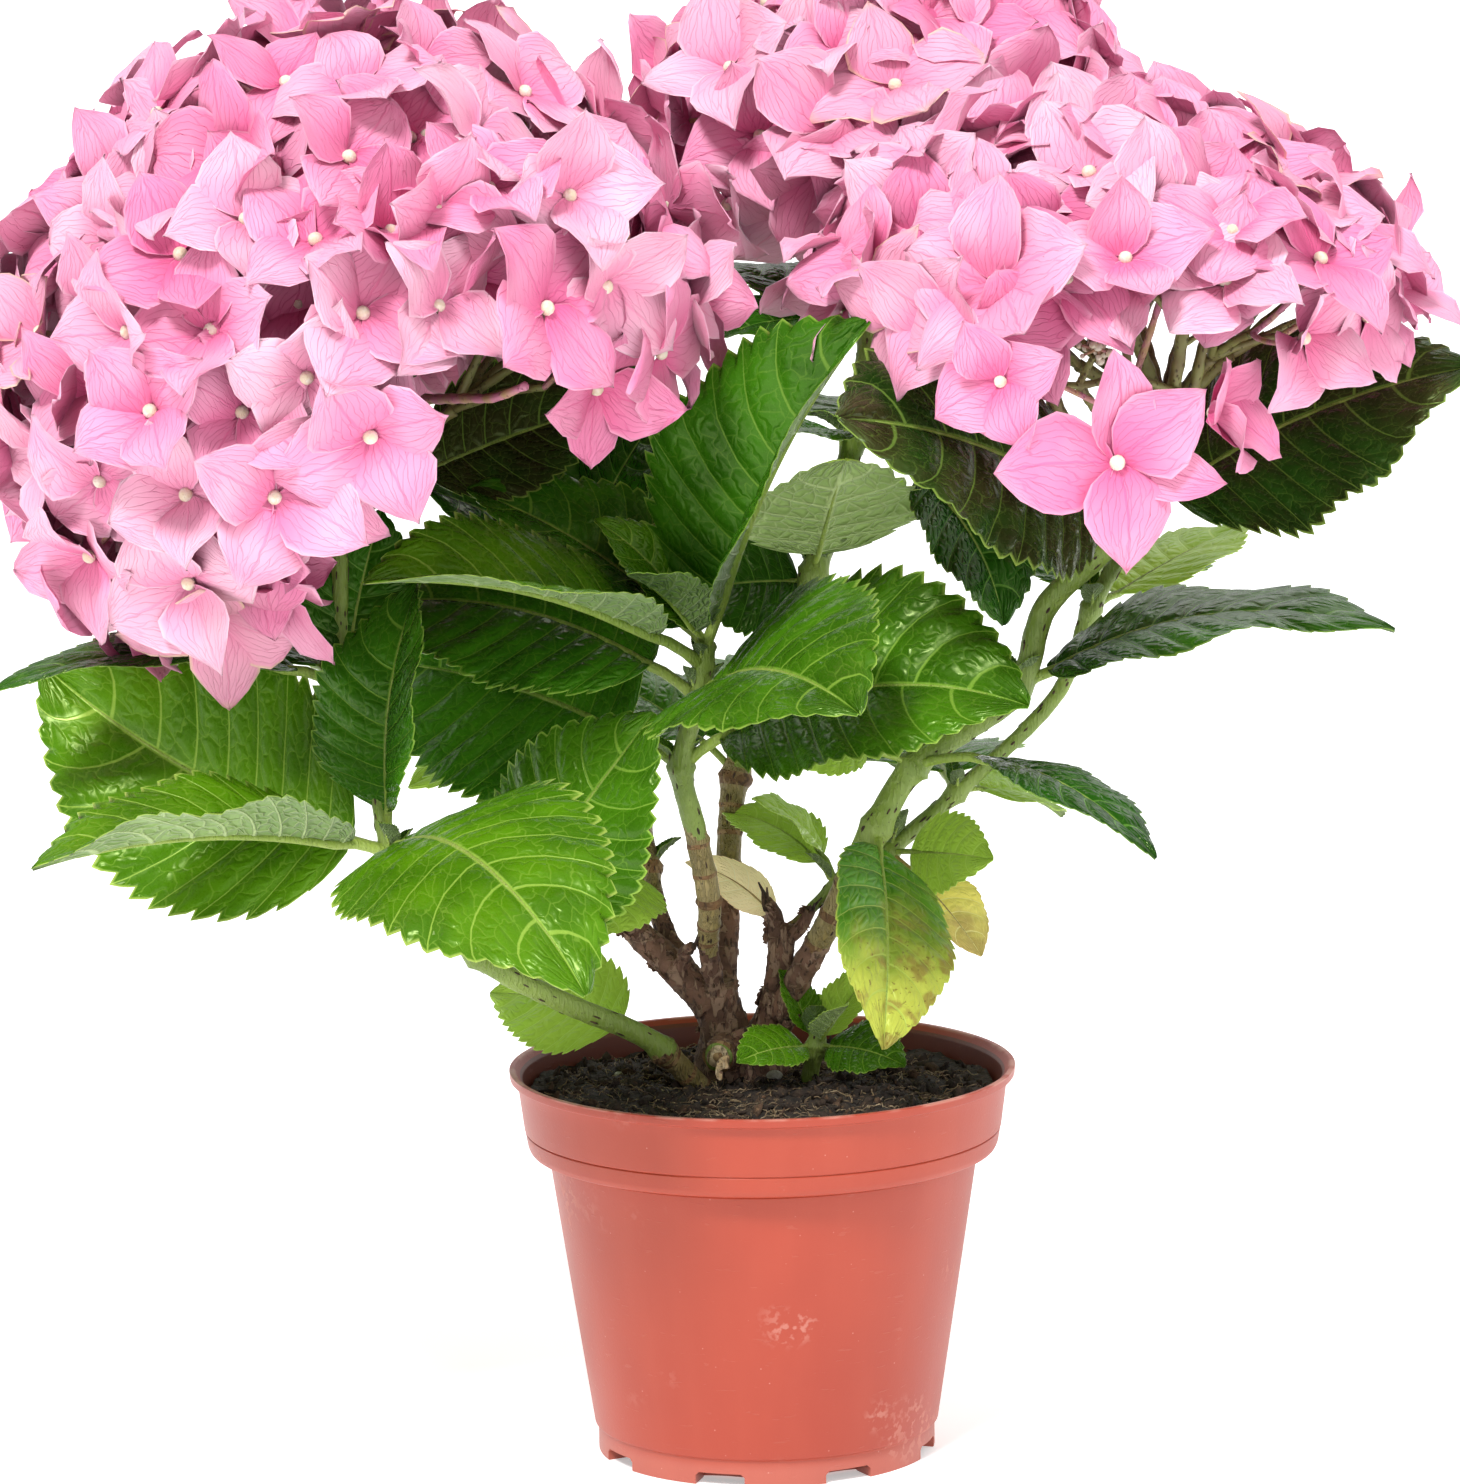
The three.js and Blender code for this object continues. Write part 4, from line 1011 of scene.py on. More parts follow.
STEM_FINISHES = {
    "green": (stem_material, "stem_green", "#89a044", "#748c34"),
    "ringed": (stem_material, "stem_ringed", "#b39f68", "#95834e", 0.0009, "#cdbb8a"),
    "ring": (bark_material, "stem_ring", "#8f6a44", "#6f5032", "#b8986c"),
    "lenticel": (bark_material, "lenticel", "#4a3626", "#38281c", "#6c523a"),
    "bark": (bark_material, "bark", "#876350", "#644738", "#b3937c"),
    "flake": (bark_material, "bark_flake", "#94705a", "#735343", "#bb9c84"),
    "cut": (bark_material, "cut_wood", "#cdb08a", "#b8966c", "#e0caa8"),
}
STEM_SLOTS = {name: i for i, name in enumerate(STEM_FINISHES)}
MASSES_OF_STEM = {
    "stem_front": ["leaves_front_top", "leaves_front_apex", "leaves_front_middle", "leaves_front_low"],
    "stem_rear": ["leaves_rear_low", "leaf_rear_pale", "leaves_rear_middle", "leaves_rear_upper"],
    "stem_left": ["leaf_left_low", "leaves_left_rear", "leaves_left_inner"],
    "stem_right": ["leaf_yellowing", "leaves_right_low", "leaves_right_middle", "leaves_right_upper"],
    "stem_right_rear": ["leaves_twig_tip", "leaves_side_twig", "leaves_right_rear_low",
                        "leaves_right_rear"],
    "stem_low_left": ["leaf_low_shoot", "leaves_left_middle", "leaves_low_left", "leaves_left_upper"],
    "side_twig": [],
    "basal_shoot": ["leaves_basal"],
}
STEM_SIDES = 22
LIMB_SIDES = 56
RING_GAPS = (5.5, 11)  # between the old scars that ring a stem
RING_HEIGHTS = (0.25, 0.65)  # of the scars, least and most
LENTICELS_PER_MM = 0.55
STEM_STEP, LIMB_STEP = 1.3, 0.7  # between the rings of places along them
BARK_RELIEF = 0.42


def ridge(along_mm, place, reach):
    """A smooth swelling from 0 to 1 at a place along a stem."""
    return np.exp(-(((along_mm - place) / reach) ** 2))


def add_stem(wood, name, spec, rng):
    """A green stem: swollen at its nodes and ringed by its old scars, with dark lenticels."""
    length = step_lengths(curve_through(spec["through"], 400)).sum()
    count = max(24, int(length / STEM_STEP))
    path = curve_through(spec["through"], count)
    along_mm = np.linspace(0, 1, count) * length
    radius = along(spec["radii"], np.linspace(0, 1, count))
    rings = []
    for mass in MASSES_OF_STEM[name]:
        rings.append(along_mm[np.linalg.norm(path - MASSES[mass][0], axis=1).argmin()])
        radius = radius + ridge(along_mm, rings[-1], 3.2)
    ringed_to, woody_to = spec["ringed"] * length, spec.get("woody", 0) * length
    place = 4.0
    while place < ringed_to:
        rings.append(place)
        place += rng.uniform(*RING_GAPS)
    angle = angles_round(STEM_SIDES)
    surface = radius[:, None] + 0 * angle
    for ring in rings:
        wobble = ring + 0.5 * np.sin(angle + rng.uniform(0, 6))
        surface = surface + rng.uniform(*RING_HEIGHTS) * ridge(along_mm[:, None], wobble, 0.6)
    surface = surface + 0.12 * np.sin(3 * angle + along_mm[:, None] * 0.05)
    plain = tube_places(path, radius, STEM_SIDES)
    surface = surface + 0.22 * rough(plain, 3.0, 7.0)
    woody = 1 - ease(along_mm, woody_to - 2, woody_to + 1)
    surface = surface + woody[:, None] * (0.5 * rough(plain * [1, 1, 0.6], 2.2, 3.0) - 0.15)
    cell_mm = along_mm[:-1, None]
    wander = cell_mm + 1.6 * np.sin(angle * 2 + 1)
    near_ring = np.min([np.abs(cell_mm + 0.65 - ring) for ring in rings], axis=0) < 0.8
    old = np.where(near_ring, STEM_SLOTS["ring"], STEM_SLOTS["ringed"])
    slots = np.where(wander < ringed_to, old, STEM_SLOTS["green"])
    slots = np.where(wander < woody_to, STEM_SLOTS["bark"], slots)
    wood.add_grid(tube_places(path, surface, STEM_SIDES), slots)
    add_lenticels(wood, path, surface, int(length * LENTICELS_PER_MM), rng)


def random_spots(path, surface, count, from_ends, rng):
    """Spots on a limb: each one's place on the path, the tangent, the way out and the radius."""
    tangents, first, second = frames_along(path)
    sides = surface.shape[1]
    for _ in range(count):
        at = rng.integers(from_ends, len(path) - from_ends)
        angle = rng.uniform(0, 2 * np.pi)
        out = first[at] * math.cos(angle) + second[at] * math.sin(angle)
        yield path[at], tangents[at], out, surface[at, int(angle / (2 * np.pi) * sides) % sides]


def add_lenticels(wood, path, surface, count, rng):
    """Short dark raised dashes along a stem."""
    for place, tangent, out, radius in random_spots(path, surface, count, 2, rng):
        turn = np.stack([np.cross(tangent, out), out, tangent], axis=1)
        length, width = rng.uniform(0.5, 1.5), rng.uniform(0.22, 0.42)
        centre = place + out * (radius + 0.02)
        wood.add_grid(ball_places(centre, (width, 0.16, length), 4, 5, turn), STEM_SLOTS["lenticel"])


def add_limb(wood, spec, rng, depth=BARK_RELIEF):
    """A woody limb with split, scaly bark, with a relief of about a depth."""
    length = step_lengths(curve_through(spec["through"], 100)).sum()
    count = max(14, int(length / LIMB_STEP))
    path = curve_through(spec["through"], count)
    radius = along(spec["radii"], np.linspace(0, 1, count))
    smooth = tube_places(path, radius, LIMB_SIDES)
    angle = angles_round(LIMB_SIDES)
    along_mm = np.linspace(0, length, count)[:, None]
    seed = rng.uniform(0, 50)
    lumps = rough(smooth, 6.0, seed) * depth * 1.7
    splits = -np.abs(rough(smooth * np.array([1, 1, 0.35]), 2.4, seed)) * depth * 0.9
    scars = 0.8 * depth * np.clip(np.sin(along_mm * 1.9 + np.sin(angle + seed) * 1.2 + lumps * 3), 0.5, 1)
    surface = radius[:, None] + lumps + splits + scars + depth * 0.1
    wood.add_grid(tube_places(path, surface, LIMB_SIDES), STEM_SLOTS["bark"])
    add_flakes(wood, path, surface, rng)


def add_flakes(wood, path, surface, rng):
    """Thin scales of bark that have come loose along one edge."""
    for place, tangent, out, radius in random_spots(path, surface, len(path) // 3, 1, rng):
        side = np.cross(tangent, out)
        long_side, wide = rng.uniform(2, 5.5), rng.uniform(0.8, 2.2)
        u, v = np.meshgrid(np.linspace(-1, 1, 6), np.linspace(0, 1, 5), indexing="ij")
        edge = 1 + 0.25 * np.sin(u * 5 + rng.uniform(0, 6))
        lift = 0.1 + v**2 * rng.uniform(0.3, 1.1) * edge
        top = (place + out * radius + u[..., None] * tangent * long_side / 2 * (1 - 0.3 * v[..., None])
               + v[..., None] * side * wide * edge[..., None] + out * lift[..., None])
        add_closed_sheet(wood, top, top - out * 0.22, (STEM_SLOTS["flake"],) * 2)


STUB = {
    "start": (-9.0, 12, 110),
    "end": (-12.0, -0.5, 110.5),
    "radii": [5.4, 5, 4.4],
    "relief": 0.45,
    # how far each disc of its cut face stands out, with its radius, depth and finish
    "rings": [(0.2, 4.4, 4.6, "ring"), (0.5, 3.9, 0.9, "green"), (0.75, 3.2, 0.8, "cut"),
              (0.9, 1.4, 0.7, "ring")],
}


def add_stub(wood, rng):
    """The stub of a stem pruned long ago: a ring of bark round a pale cut face."""
    start, end = np.array(STUB["start"]), np.array(STUB["end"])
    spec = {"through": [start, (start + end) / 2, end], "radii": STUB["radii"]}
    add_limb(wood, spec, rng, STUB["relief"])
    way = unit(end - start)
    for out, radius, depth, finish in STUB["rings"]:
        path = end + way * np.linspace(out - depth, out, 4)[:, None]
        wobble = 1 + 0.05 * np.sin(3 * angles_round(24) + out * 9)
        wood.add_grid(tube_places(path, radius * np.ones((4, 1)) * wobble, 24), STEM_SLOTS[finish])


def add_peel(wood):
    """The curl of pale inner bark that hangs in front of the stub."""
    x, y, z = -10.5, -4.6, 107.5
    u, v = np.meshgrid(np.linspace(0, 1, 14), np.linspace(-1, 1, 9), indexing="ij")
    turn = 1.1 + 3.2 * u
    reach = 3.3 * (1 - 0.55 * u) * (1 + 0.12 * np.sin(5 * u + 3 * v))
    places = np.stack([
        x + reach * np.cos(turn),
        y - 1.5 * u + 0.9 * v + 0.5 * np.sin(7 * u),
        z + reach * np.sin(turn) * 0.8 + 1.7 * v * (1 - 0.3 * u),
    ], axis=-1)
    away = unit(places - np.array([x, y, z]))
    add_closed_sheet(wood, places, places - away * 0.35, (STEM_SLOTS["cut"], STEM_SLOTS["flake"]))


DEAD_TWIGS = [  # foot, tip and radius
    ((-34, 17, 143), (-40, 12, 150), 2.6), ((-22, 12, 133), (-19, 4, 141), 2.0),
    ((5, 18, 141), (2, 12, 152), 2.2), ((2, 14, 112), (8, 7, 119), 2.4),
    ((-9, 10, 112), (-4, 2, 117), 2.2), ((8, 16, 140), (14, 12, 149), 1.8),
]
TWIG_RELIEF = 0.25


def add_dead_twigs(wood, rng):
    """The broken ends of old twigs on the crown and the boughs."""
    for foot, tip, radius in DEAD_TWIGS:
        foot, tip = np.array(foot, float), np.array(tip, float)
        bend = (foot + tip) / 2 + rng.uniform(-1, 1, 3)
        spec = {"through": [foot, bend, tip], "radii": [radius, radius * 0.9, radius * 0.7]}
        add_limb(wood, spec, rng, TWIG_RELIEF)
        for _ in range(3):
            shard = tip + rng.uniform(-0.5, 0.5, 3) * radius
            end = shard + (tip - foot) * rng.uniform(0.2, 0.45) + rng.uniform(-1.5, 1.5, 3)
            path = curve_through([shard - (tip - foot) * 0.2, shard, end], 6)
            wood.add_tube(path, np.linspace(0.42, 0.12, 6) * radius, 5, STEM_SLOTS["lenticel"])


def make_stems():
    """All the wood of the plant over the soil."""
    rng = np.random.default_rng(SEED + 1)
    wood = Gatherer()
    for name, spec in STEMS.items():
        add_stem(wood, name, spec, rng)
    for spec in WOOD.values():
        add_limb(wood, spec, rng)
    add_stub(wood, rng)
    add_peel(wood)
    add_dead_twigs(wood, rng)
    finishes = [material(*looks) for material, *looks in STEM_FINISHES.values()]
    crown = wood.build("stems_and_crown", finishes)
    settle(crown, "bark", *STEMS, "bough_left", "bough_middle", "root_crown")


# ---- flower heads -------------------------------------------------------------------------

SEPAL = {"length": 25, "width": 23.5, "grid": (9, 8), "under_grid": (7, 6), "thickness": 0.35, "rim": 0.02}
SEPAL_TINTS = {  # the face, the heart and the edge
    "rose": ("#fd9dc5", "#f2609d", "#ffc2da"),
    "pink": ("#ffa6c9", "#f670a6", "#ffccdf"),
    "light": ("#ffb4d1", "#fa84b3", "#ffd6e5"),
    "deep": ("#f98cb9", "#ec5192", "#ffb3d0"),
    "tanned": ("#ffb0cd", "#f680ae", "#f3dcae"),
}
TINT_SHARES = [0.34, 0.32, 0.2, 0.09, 0.05]
# the deeper layer is mostly of the deep tint: painted shade in the gaps between the upper florets
UNDER_TINT_SHARES = [0.3, 0.1, 0.0, 0.6, 0.0]
BUD_FINISHES = [
    ("bud", "#fff6e2", "#f7e9c6"), ("bud_foot", "#b39a6a", "#94744a"),
    ("bud_pink", "#efb6c4", "#e49ab0"), ("bud_pink_foot", "#a8763f", "#8a5c34"),
]
PALE_BUD, PINK_BUD = 0, 2  # the slots of the buds, each with its foot in the next
RAY_FINISHES = [("ray", "#8a8a4e", "#77683f", "#4e3a28"), ("floret_stalk", "#d98aa6", "#c3a070", "#a8506c")]
RAY, STALK = 0, 1
FLORET_DEPTH, UNDER_DEPTH = 0.925, 0.85  # how far out the two layers stand, as shares of the dome
FIVE_SEPALS_SHARE = 0.04
MAIN_RAYS, FLORETS_PER_TWIG, TUFT_SHARE = 8, 2.6, 0.6
RAY_RADII = ((2.1, 1.7), (1.35, 1.05), (0.85, 0.7))  # of main rays, twigs and stalks, foot and tip
THREAD = np.linspace(0.5, 0.35, 6)  # the radii along the stalk of a fertile flower
# deeper florets that close the gaps in the crowns: place, the way they face, spin, size, openness, sepals
FILLING_FLORETS = {
    "flower_head_left": [
        ((-86, -57, 371), (-61, 50), 10, 1.0, 14, 4), ((-126, -74, 357), (-105, 37), 50, 1.0, 14, 4),
        ((-157, -57, 358), (-138, 38), 30, 1.0, 14, 4), ((-103, -36, 384), (-72, 70), 70, 1.0, 12, 4),
        ((-137, -84, 292), (-110, -10), 25, 1.0, 14, 4), ((-180, 27, 318), (150, 5), 40, 1.0, 14, 4),
        ((-119, -84, 331), (-95, 22), 15, 1.0, 14, 4),
    ],
    "flower_head_rear": [
        ((38, 98, 399), (90, 65), 20, 1.0, 12, 4), ((82, 112, 374), (35, 20), 60, 1.0, 14, 4),
        ((35, 130, 374), (90, 15), 35, 1.0, 14, 4),
    ],
}
PLACED_TINT = 3  # the slot of the sepals of these florets and of the ones that hang: deep
HERO_SIZE = 0.97  # how far out the heroes stand, as a share of the dome

# the florets that show best: where they stand on the dome, as an angle from its axis and an azimuth
# round it, the azimuth and rise that they face, their spin, their size and how far they have opened
HERO_FLORETS = {
    "flower_head_left": [
        (58, -82, -91, 50, 43, 1.0, 25), (73, -80, -62, 25, 58, 1.05, 28),
        (46, -68, -60, 39, 47, 0.95, 18), (62, -69, -58, 48, 0, 0.92, 33),
        (62, -59, -59, -8, 70, 0.95, 26), (54, -42, -34, 30, 48, 0.95, 19),
        (72, -37, -60, 18, 4, 0.95, 34), (86, -52, -42, 11, 36, 1.1, 15),
        (79, -92, -75, -25, 70, 0.95, 10), (77, -119, -109, 9, 36, 1.0, 30),
        (93, -86, -88, -15, 30, 1.05, 25), (98, -105, -75, 0, 65, 1.05, 23),
        (87, -135, -118, -30, 39, 0.9, 16), (101, -146, -134, -30, 0, 0.95, 30),
        (110, -128, -120, -22, 19, 1.05, 24), (33, -49, -100, 60, 30, 0.95, 17),
        (77, -68, -45, 9, 44, 0.9, 20), (64, -49, -80, 42, 31, 0.9, 19),
    ],
    "flower_head_rear": [
        (92, -108, -72, -20, 79, 0.9, 24), (60, -140, -125, 40, 30, 1.0, 25),
        (62, -88, -90, 45, 20, 1.0, 22), (76, -104, -95, 30, 60, 1.05, 20),
        (88, -80, -70, 10, 15, 1.0, 22), (100, -94, -85, -10, 50, 0.9, 20),
    ],
    "flower_head_right": [
        (54, -90, -84, 33, 11, 0.95, 38), (64, -116, -118, 30, 23, 1.1, 14),
        (62, -68, -92, 50, 56, 0.95, 14), (60, -44, -47, 50, 0, 1.0, 12),
        (25, -104, -100, 55, 35, 1.05, 20),
    ],
}
FIVE_SEPALS = [("flower_head_right", 1)]  # heroes with a sepal more than the usual four
# florets that hang clear of the right-hand head: place, the way they face, spin, size, openness, sepals
HANGING_FLORETS = [
    ((93.8, -93, 288.2), (-74, -2), 0, 1.21, 14,
     [(94, 0.66), (40, 0.9), (-14, 0.62), (-84, 0.88), (186, 1.1)]),
    ((64.5, -94, 310), (-108, -2), 26, 0.8, 24, 4),
    ((119, -74, 298), (-18, 4), 45, 0.9, 42, 4),
]
# the rays that show under the front of the right-hand head: their places, and how thick they are
FRONT_RAYS = [
    ([(100, -22, 284), (85, -44, 290), (79, -50, 303), (79, -54, 316), (81, -56, 322)], 1.9, 1.6),
    ([(106, -28, 288), (101, -44, 302), (99, -50, 313), (98, -55, 328)], 1.1, 1.2),
    ([(107, -28, 288), (102, -44, 303), (105, -50, 315), (109, -52, 328)], 0.9, 1.0),
    ([(111, -22, 286), (112, -40, 299), (114, -46, 313), (115, -50, 324), (114, -54, 334)], 2.1, 1.7),
    ([(114, -47, 315), (109, -52, 324), (102, -56, 331)], 1.1, 0.9),
    ([(115, -46, 313), (123, -47, 318), (134, -46, 323)], 1.0, 0.9),
    ([(114, -18, 286), (118, -35, 299), (120, -38, 310), (126, -38, 326)], 1.8, 1.5),
    ([(114, -42, 299), (99, -54, 305), (86, -60, 304), (74, -62, 305)], 1.3, 1.0),
    ([(86, -60, 304), (88, -60, 308), (90, -62, 312)], 1.1, 0.9),
    ([(86, -59, 304), (92, -50, 295), (100, -38, 287)], 1.4, 1.3),
    ([(91, -62, 313), (89, -58, 319), (87, -55, 326)], 0.6, 0.6),
]
CLOSED_BLOOM = (81, -57, 325)  # a floret still closed
DRIED_TUFT = (91, -63, 314)  # fertile flowers that have dried up
# a ray that shows where the left-hand head has its notch
NOTCH_RAY = ([(-88, -40, 300), (-76, -62, 303), (-68, -76, 305), (-60, -84, 309)], 1.5, 1.1)


def turn_to(azimuth, angle):
    """The rotation that leans the upright axis by an angle towards an azimuth."""
    leaned = Vector(heading(azimuth, 90 - angle))
    return np.array(Vector((0, 0, 1)).rotation_difference(leaned).to_matrix())


def dome_place(head, polar, azimuth, size=1.0):
    """Places on a head's dome, from the angle from its axis and the azimuth round it, in degrees."""
    p, a = np.radians(polar), np.radians(azimuth)
    aim = np.stack([np.sin(p) * np.cos(a), np.sin(p) * np.sin(a), np.cos(p)], axis=-1)
    swell = 1 + 0.025 * np.sin(5 * a + 2) * np.sin(4 * p)
    for lobe_azimuth, rise, reach, focus in head["lobes"]:
        swell = swell + reach * np.exp(focus * (aim @ heading(lobe_azimuth, rise) - 1))
    place = aim * np.asarray(swell)[..., None] * size * np.array(head["radii"], float)
    return place @ turn_to(*head["tilt"]).T + np.array(head["centre"], float)


def dome_normal(head, polar, azimuth):
    step = 0.5
    polar = np.clip(polar, 2, None)
    down = dome_place(head, polar + step, azimuth) - dome_place(head, polar - step, azimuth)
    round_it = dome_place(head, polar, azimuth + step) - dome_place(head, polar, azimuth - step)
    return unit(np.cross(down, round_it))


def open_spot(head, polar, azimuth):
    """Whether a floret may stand at an angle of a dome: over its hem, and out of its bare places."""
    swing, share = head["hang"]
    hem = (head["skirt"] - 4) * (1 + share * np.cos(np.radians(azimuth - swing)))
    inside = polar < hem
    for middle, half, start in head["bare"]:
        off = np.abs((azimuth - middle + 180) % 360 - 180)
        inside &= ~((off < half) & (polar > start))
    return inside


def spread_florets(head, count, size, heroes, rng):
    """Angles for florets spread as evenly as they go over a dome, in between the heroes."""
    tries = 4000
    lowest = math.cos(math.radians(head["skirt"] * 1.06))
    polar = np.degrees(np.arccos(rng.uniform(lowest, 1, tries)))
    azimuth = rng.uniform(-180, 180, tries)
    keep = open_spot(head, polar, azimuth)
    polar, azimuth = polar[keep], azimuth[keep]
    places = dome_place(head, polar, azimuth, size)
    away = np.full(len(places), np.inf)
    for hero in heroes:
        away = np.minimum(away, np.linalg.norm(places - dome_place(head, hero[0], hero[1], size), axis=1))
    chosen = []
    while len(chosen) < count - len(heroes):
        best = int(away.argmax()) if np.isfinite(away).all() else 0
        chosen.append((polar[best], azimuth[best]))
        away = np.minimum(away, np.linalg.norm(places - places[best], axis=1))
    return chosen


def sepal_faces(length, width, grid, rng):
    """The upper and lower faces of one sepal: along X from its claw, across Y, and up Z."""
    rows, columns = grid
    a = (0.5 - 0.5 * np.cos(np.linspace(0, math.pi, rows)))[:, None] * 0.985 + 0.012
    b = np.sin(np.linspace(-math.pi / 2, math.pi / 2, columns))[None]
    foot, drawn = rng.uniform(0.66, 0.8), rng.uniform(0.78, 1.12)
    widest = foot / (foot + drawn)
    half = width / 2 * (a / widest) ** foot * ((1 - a) / (1 - widest)) ** drawn
    half = half * (1 + 0.05 * np.sin(a * rng.uniform(6, 11) + rng.uniform(0, 6) + b * 2) * np.abs(b))
    y = half * b + rng.uniform(-0.06, 0.06) * length * np.sin(math.pi * a)
    x = length * a - 0.03 * length * b**2 * a
    keel = rng.uniform(-0.08, 0.32) * (np.sqrt(y**2 + 0.6) - 0.8)
    arch = length * (rng.uniform(0, 0.28) * a - rng.uniform(0.04, 0.4) * a**2)
    recurve = -length * rng.uniform(-0.06, 0.16) * ease(a, 0.72, 1) ** 1.5
    pinch = rng.uniform(-0.1, 0.5) * np.abs(y) * ease(a, 0.55, 1)
    ripple = rng.uniform(0.03, 0.075) * width * np.abs(b) ** 2.5 * np.sin(
        a * rng.uniform(6, 12) + rng.uniform(0, 6) + np.where(b > 0, rng.uniform(0, 6), 0))
    curl = -rng.uniform(-0.12, 0.3) * half * np.abs(b) ** 4
    twist = rng.uniform(-0.2, 0.2) * y * a
    groove = -0.22 * np.exp(-((y / 0.8) ** 2)) * ease(a, 0.02, 0.2) * (1 - a)
    z = keel + arch + recurve + pinch + ripple + curl + twist + groove
    top = np.stack(np.broadcast_arrays(x, y, z), axis=-1)
    thick = SEPAL["thickness"] * (1 - 0.8 * np.abs(b) ** 4) * (1 - 0.5 * a**3)
    below = np.stack(np.broadcast_arrays(x, y, z - thick), axis=-1)
    return top, below, a, b


def add_floret(petals, buds, centre, normal, spin, scale, tint, openness, sepals, rng, grid):
    """One floret: overlapping sepals, every second one over its neighbours, round a closed bud."""
    basis = basis_of(normal, math.radians(spin))
    even = [(360 / sepals * k, 1) for k in range(sepals)] if isinstance(sepals, int) else sepals
    for k, (turn_of, slim) in enumerate(even):
        inner = k % 2
        length = SEPAL["length"] * scale * rng.uniform(0.92, 1.08)
        width = SEPAL["width"] * slim * scale * rng.uniform(0.86, 1.12) * (0.95 if inner else 1.04)
        top, below, a, b = sepal_faces(length, width, grid, rng)
        rise = math.radians(openness + (5 if inner else -4) + rng.uniform(-7, 7))
        turn = math.radians(turn_of + rng.uniform(-6, 6))
        out = np.array([math.cos(turn) * math.cos(rise), math.sin(turn) * math.cos(rise), math.sin(rise)])
        side = np.array([-math.sin(turn), math.cos(turn), 0])
        frame_of = np.stack([out, side, np.cross(out, side)], axis=1)
        start = out * 0.7 + np.array([0, 0, 0.8 * inner])
        faces = [(sheet @ frame_of.T + start) @ basis.T + centre for sheet in (top, below)]
        maps = sheet_maps("Sepal", a, a, 0.5 + 0.5 * b, SEPAL["rim"], [tint] * 4, 3)
        add_closed_sheet(petals, *faces, (tint, tint), maps)
    add_bud(buds, centre + basis[:, 2] * 1.9 * scale, basis, 2.0 * scale ** 0.5, rng)


def add_bud(buds, centre, basis, radius, rng, slot=PALE_BUD):
    """A closed fertile flower: a small round bud with four shallow grooves and a darker foot."""
    rings, sides = (7, 12) if radius > 1.5 else (5, 8)
    places = ball_places((0, 0, 0), (radius, radius, radius * 0.92), rings, sides)
    angle = np.arctan2(places[..., 1], places[..., 0])
    top = ease(places[..., 2], -0.2 * radius, radius)
    places = places * (1 - 0.1 * top * np.abs(np.cos(2 * angle + 0.6)) ** 6)[..., None]
    places = places * (1 + 0.03 * rng.uniform(-1, 1))
    slots = slot + (np.arange(rings - 1) < rings // 4)[:, None]
    buds.add_grid(places @ basis.T + centre, slots)


def bent_path(start, end, lean, count, rng):
    """A path between two places that sets off along a leaning way and wanders a little."""
    start, end = np.asarray(start, float), np.asarray(end, float)
    gap = np.linalg.norm(end - start)
    t = np.linspace(0, 1, count)[:, None]
    middle = (start + end) / 2 + lean * gap * 0.18 + rng.uniform(-1, 1, 3) * gap * 0.04
    return (1 - t) ** 2 * start + 2 * t * (1 - t) * middle + t**2 * end


def nearest_groups(places, count, rng):
    """Which of some groups each place belongs to, by nearness, with the groups spread out."""
    seeds = [int(rng.integers(len(places)))]
    away = np.linalg.norm(places - places[seeds[0]], axis=1)
    while len(seeds) < min(count, len(places)):
        seeds.append(int(away.argmax()))
        away = np.minimum(away, np.linalg.norm(places - places[seeds[-1]], axis=1))
    centres = places[seeds]
    for _ in range(4):
        near = np.linalg.norm(places[:, None] - centres[None], axis=2).argmin(axis=1)
        centres = np.array([places[near == k].mean(axis=0) if (near == k).any() else centres[k]
                            for k in range(len(centres))])
    return near


def grow_rays(stalks, buds, hub, florets, rng):
    """The rays of a head: they fork from the hub, by nearness, until each floret has its stalk."""
    backs = np.array([centre - normal * 0.6 for centre, normal in florets])
    hub = np.asarray(hub, float)
    lean = np.array([0, 0, 0.4])
    main = nearest_groups(backs, MAIN_RAYS, rng)
    for k in range(main.max() + 1):
        mine = np.flatnonzero(main == k)
        if not len(mine):
            continue
        fork = hub + (backs[mine].mean(axis=0) - hub) * rng.uniform(0.34, 0.42)
        grow_ray(stalks, bent_path(hub, fork, lean, 16, rng), *RAY_RADII[0], RAY, rng)
        part = nearest_groups(backs[mine], max(1, round(len(mine) / FLORETS_PER_TWIG)), rng)
        for j in range(part.max() + 1):
            few = mine[part == j]
            if not len(few):
                continue
            aim = backs[few].mean(axis=0)
            twig = fork + (aim - fork) * rng.uniform(0.42, 0.55)
            grow_ray(stalks, bent_path(fork, twig, lean, 12, rng), *RAY_RADII[1], RAY, rng)
            for i in few:
                end = backs[i]
                middle = end - florets[i][1] * np.linalg.norm(end - twig) * 0.45
                path = curve_through([twig, (twig + middle) / 2, (middle * 1.4 + end * 0.6) / 2, end], 14)
                grow_ray(stalks, path, *RAY_RADII[2], STALK, rng)
            if rng.random() < TUFT_SHARE:
                add_fertile_tuft(stalks, buds, twig, unit(aim - fork), rng)


def grow_ray(stalks, path, thick, thin, slot, rng):
    knots = 1 + 0.12 * np.sin(np.arange(len(path)) * 1.9 + rng.uniform(0, 6)) ** 3
    radius = np.linspace(thick, thin, len(path)) * knots
    radius[-1] *= 1.15
    stalks.add_tube(path, radius, 8 if thick > 1 else 6, slot)


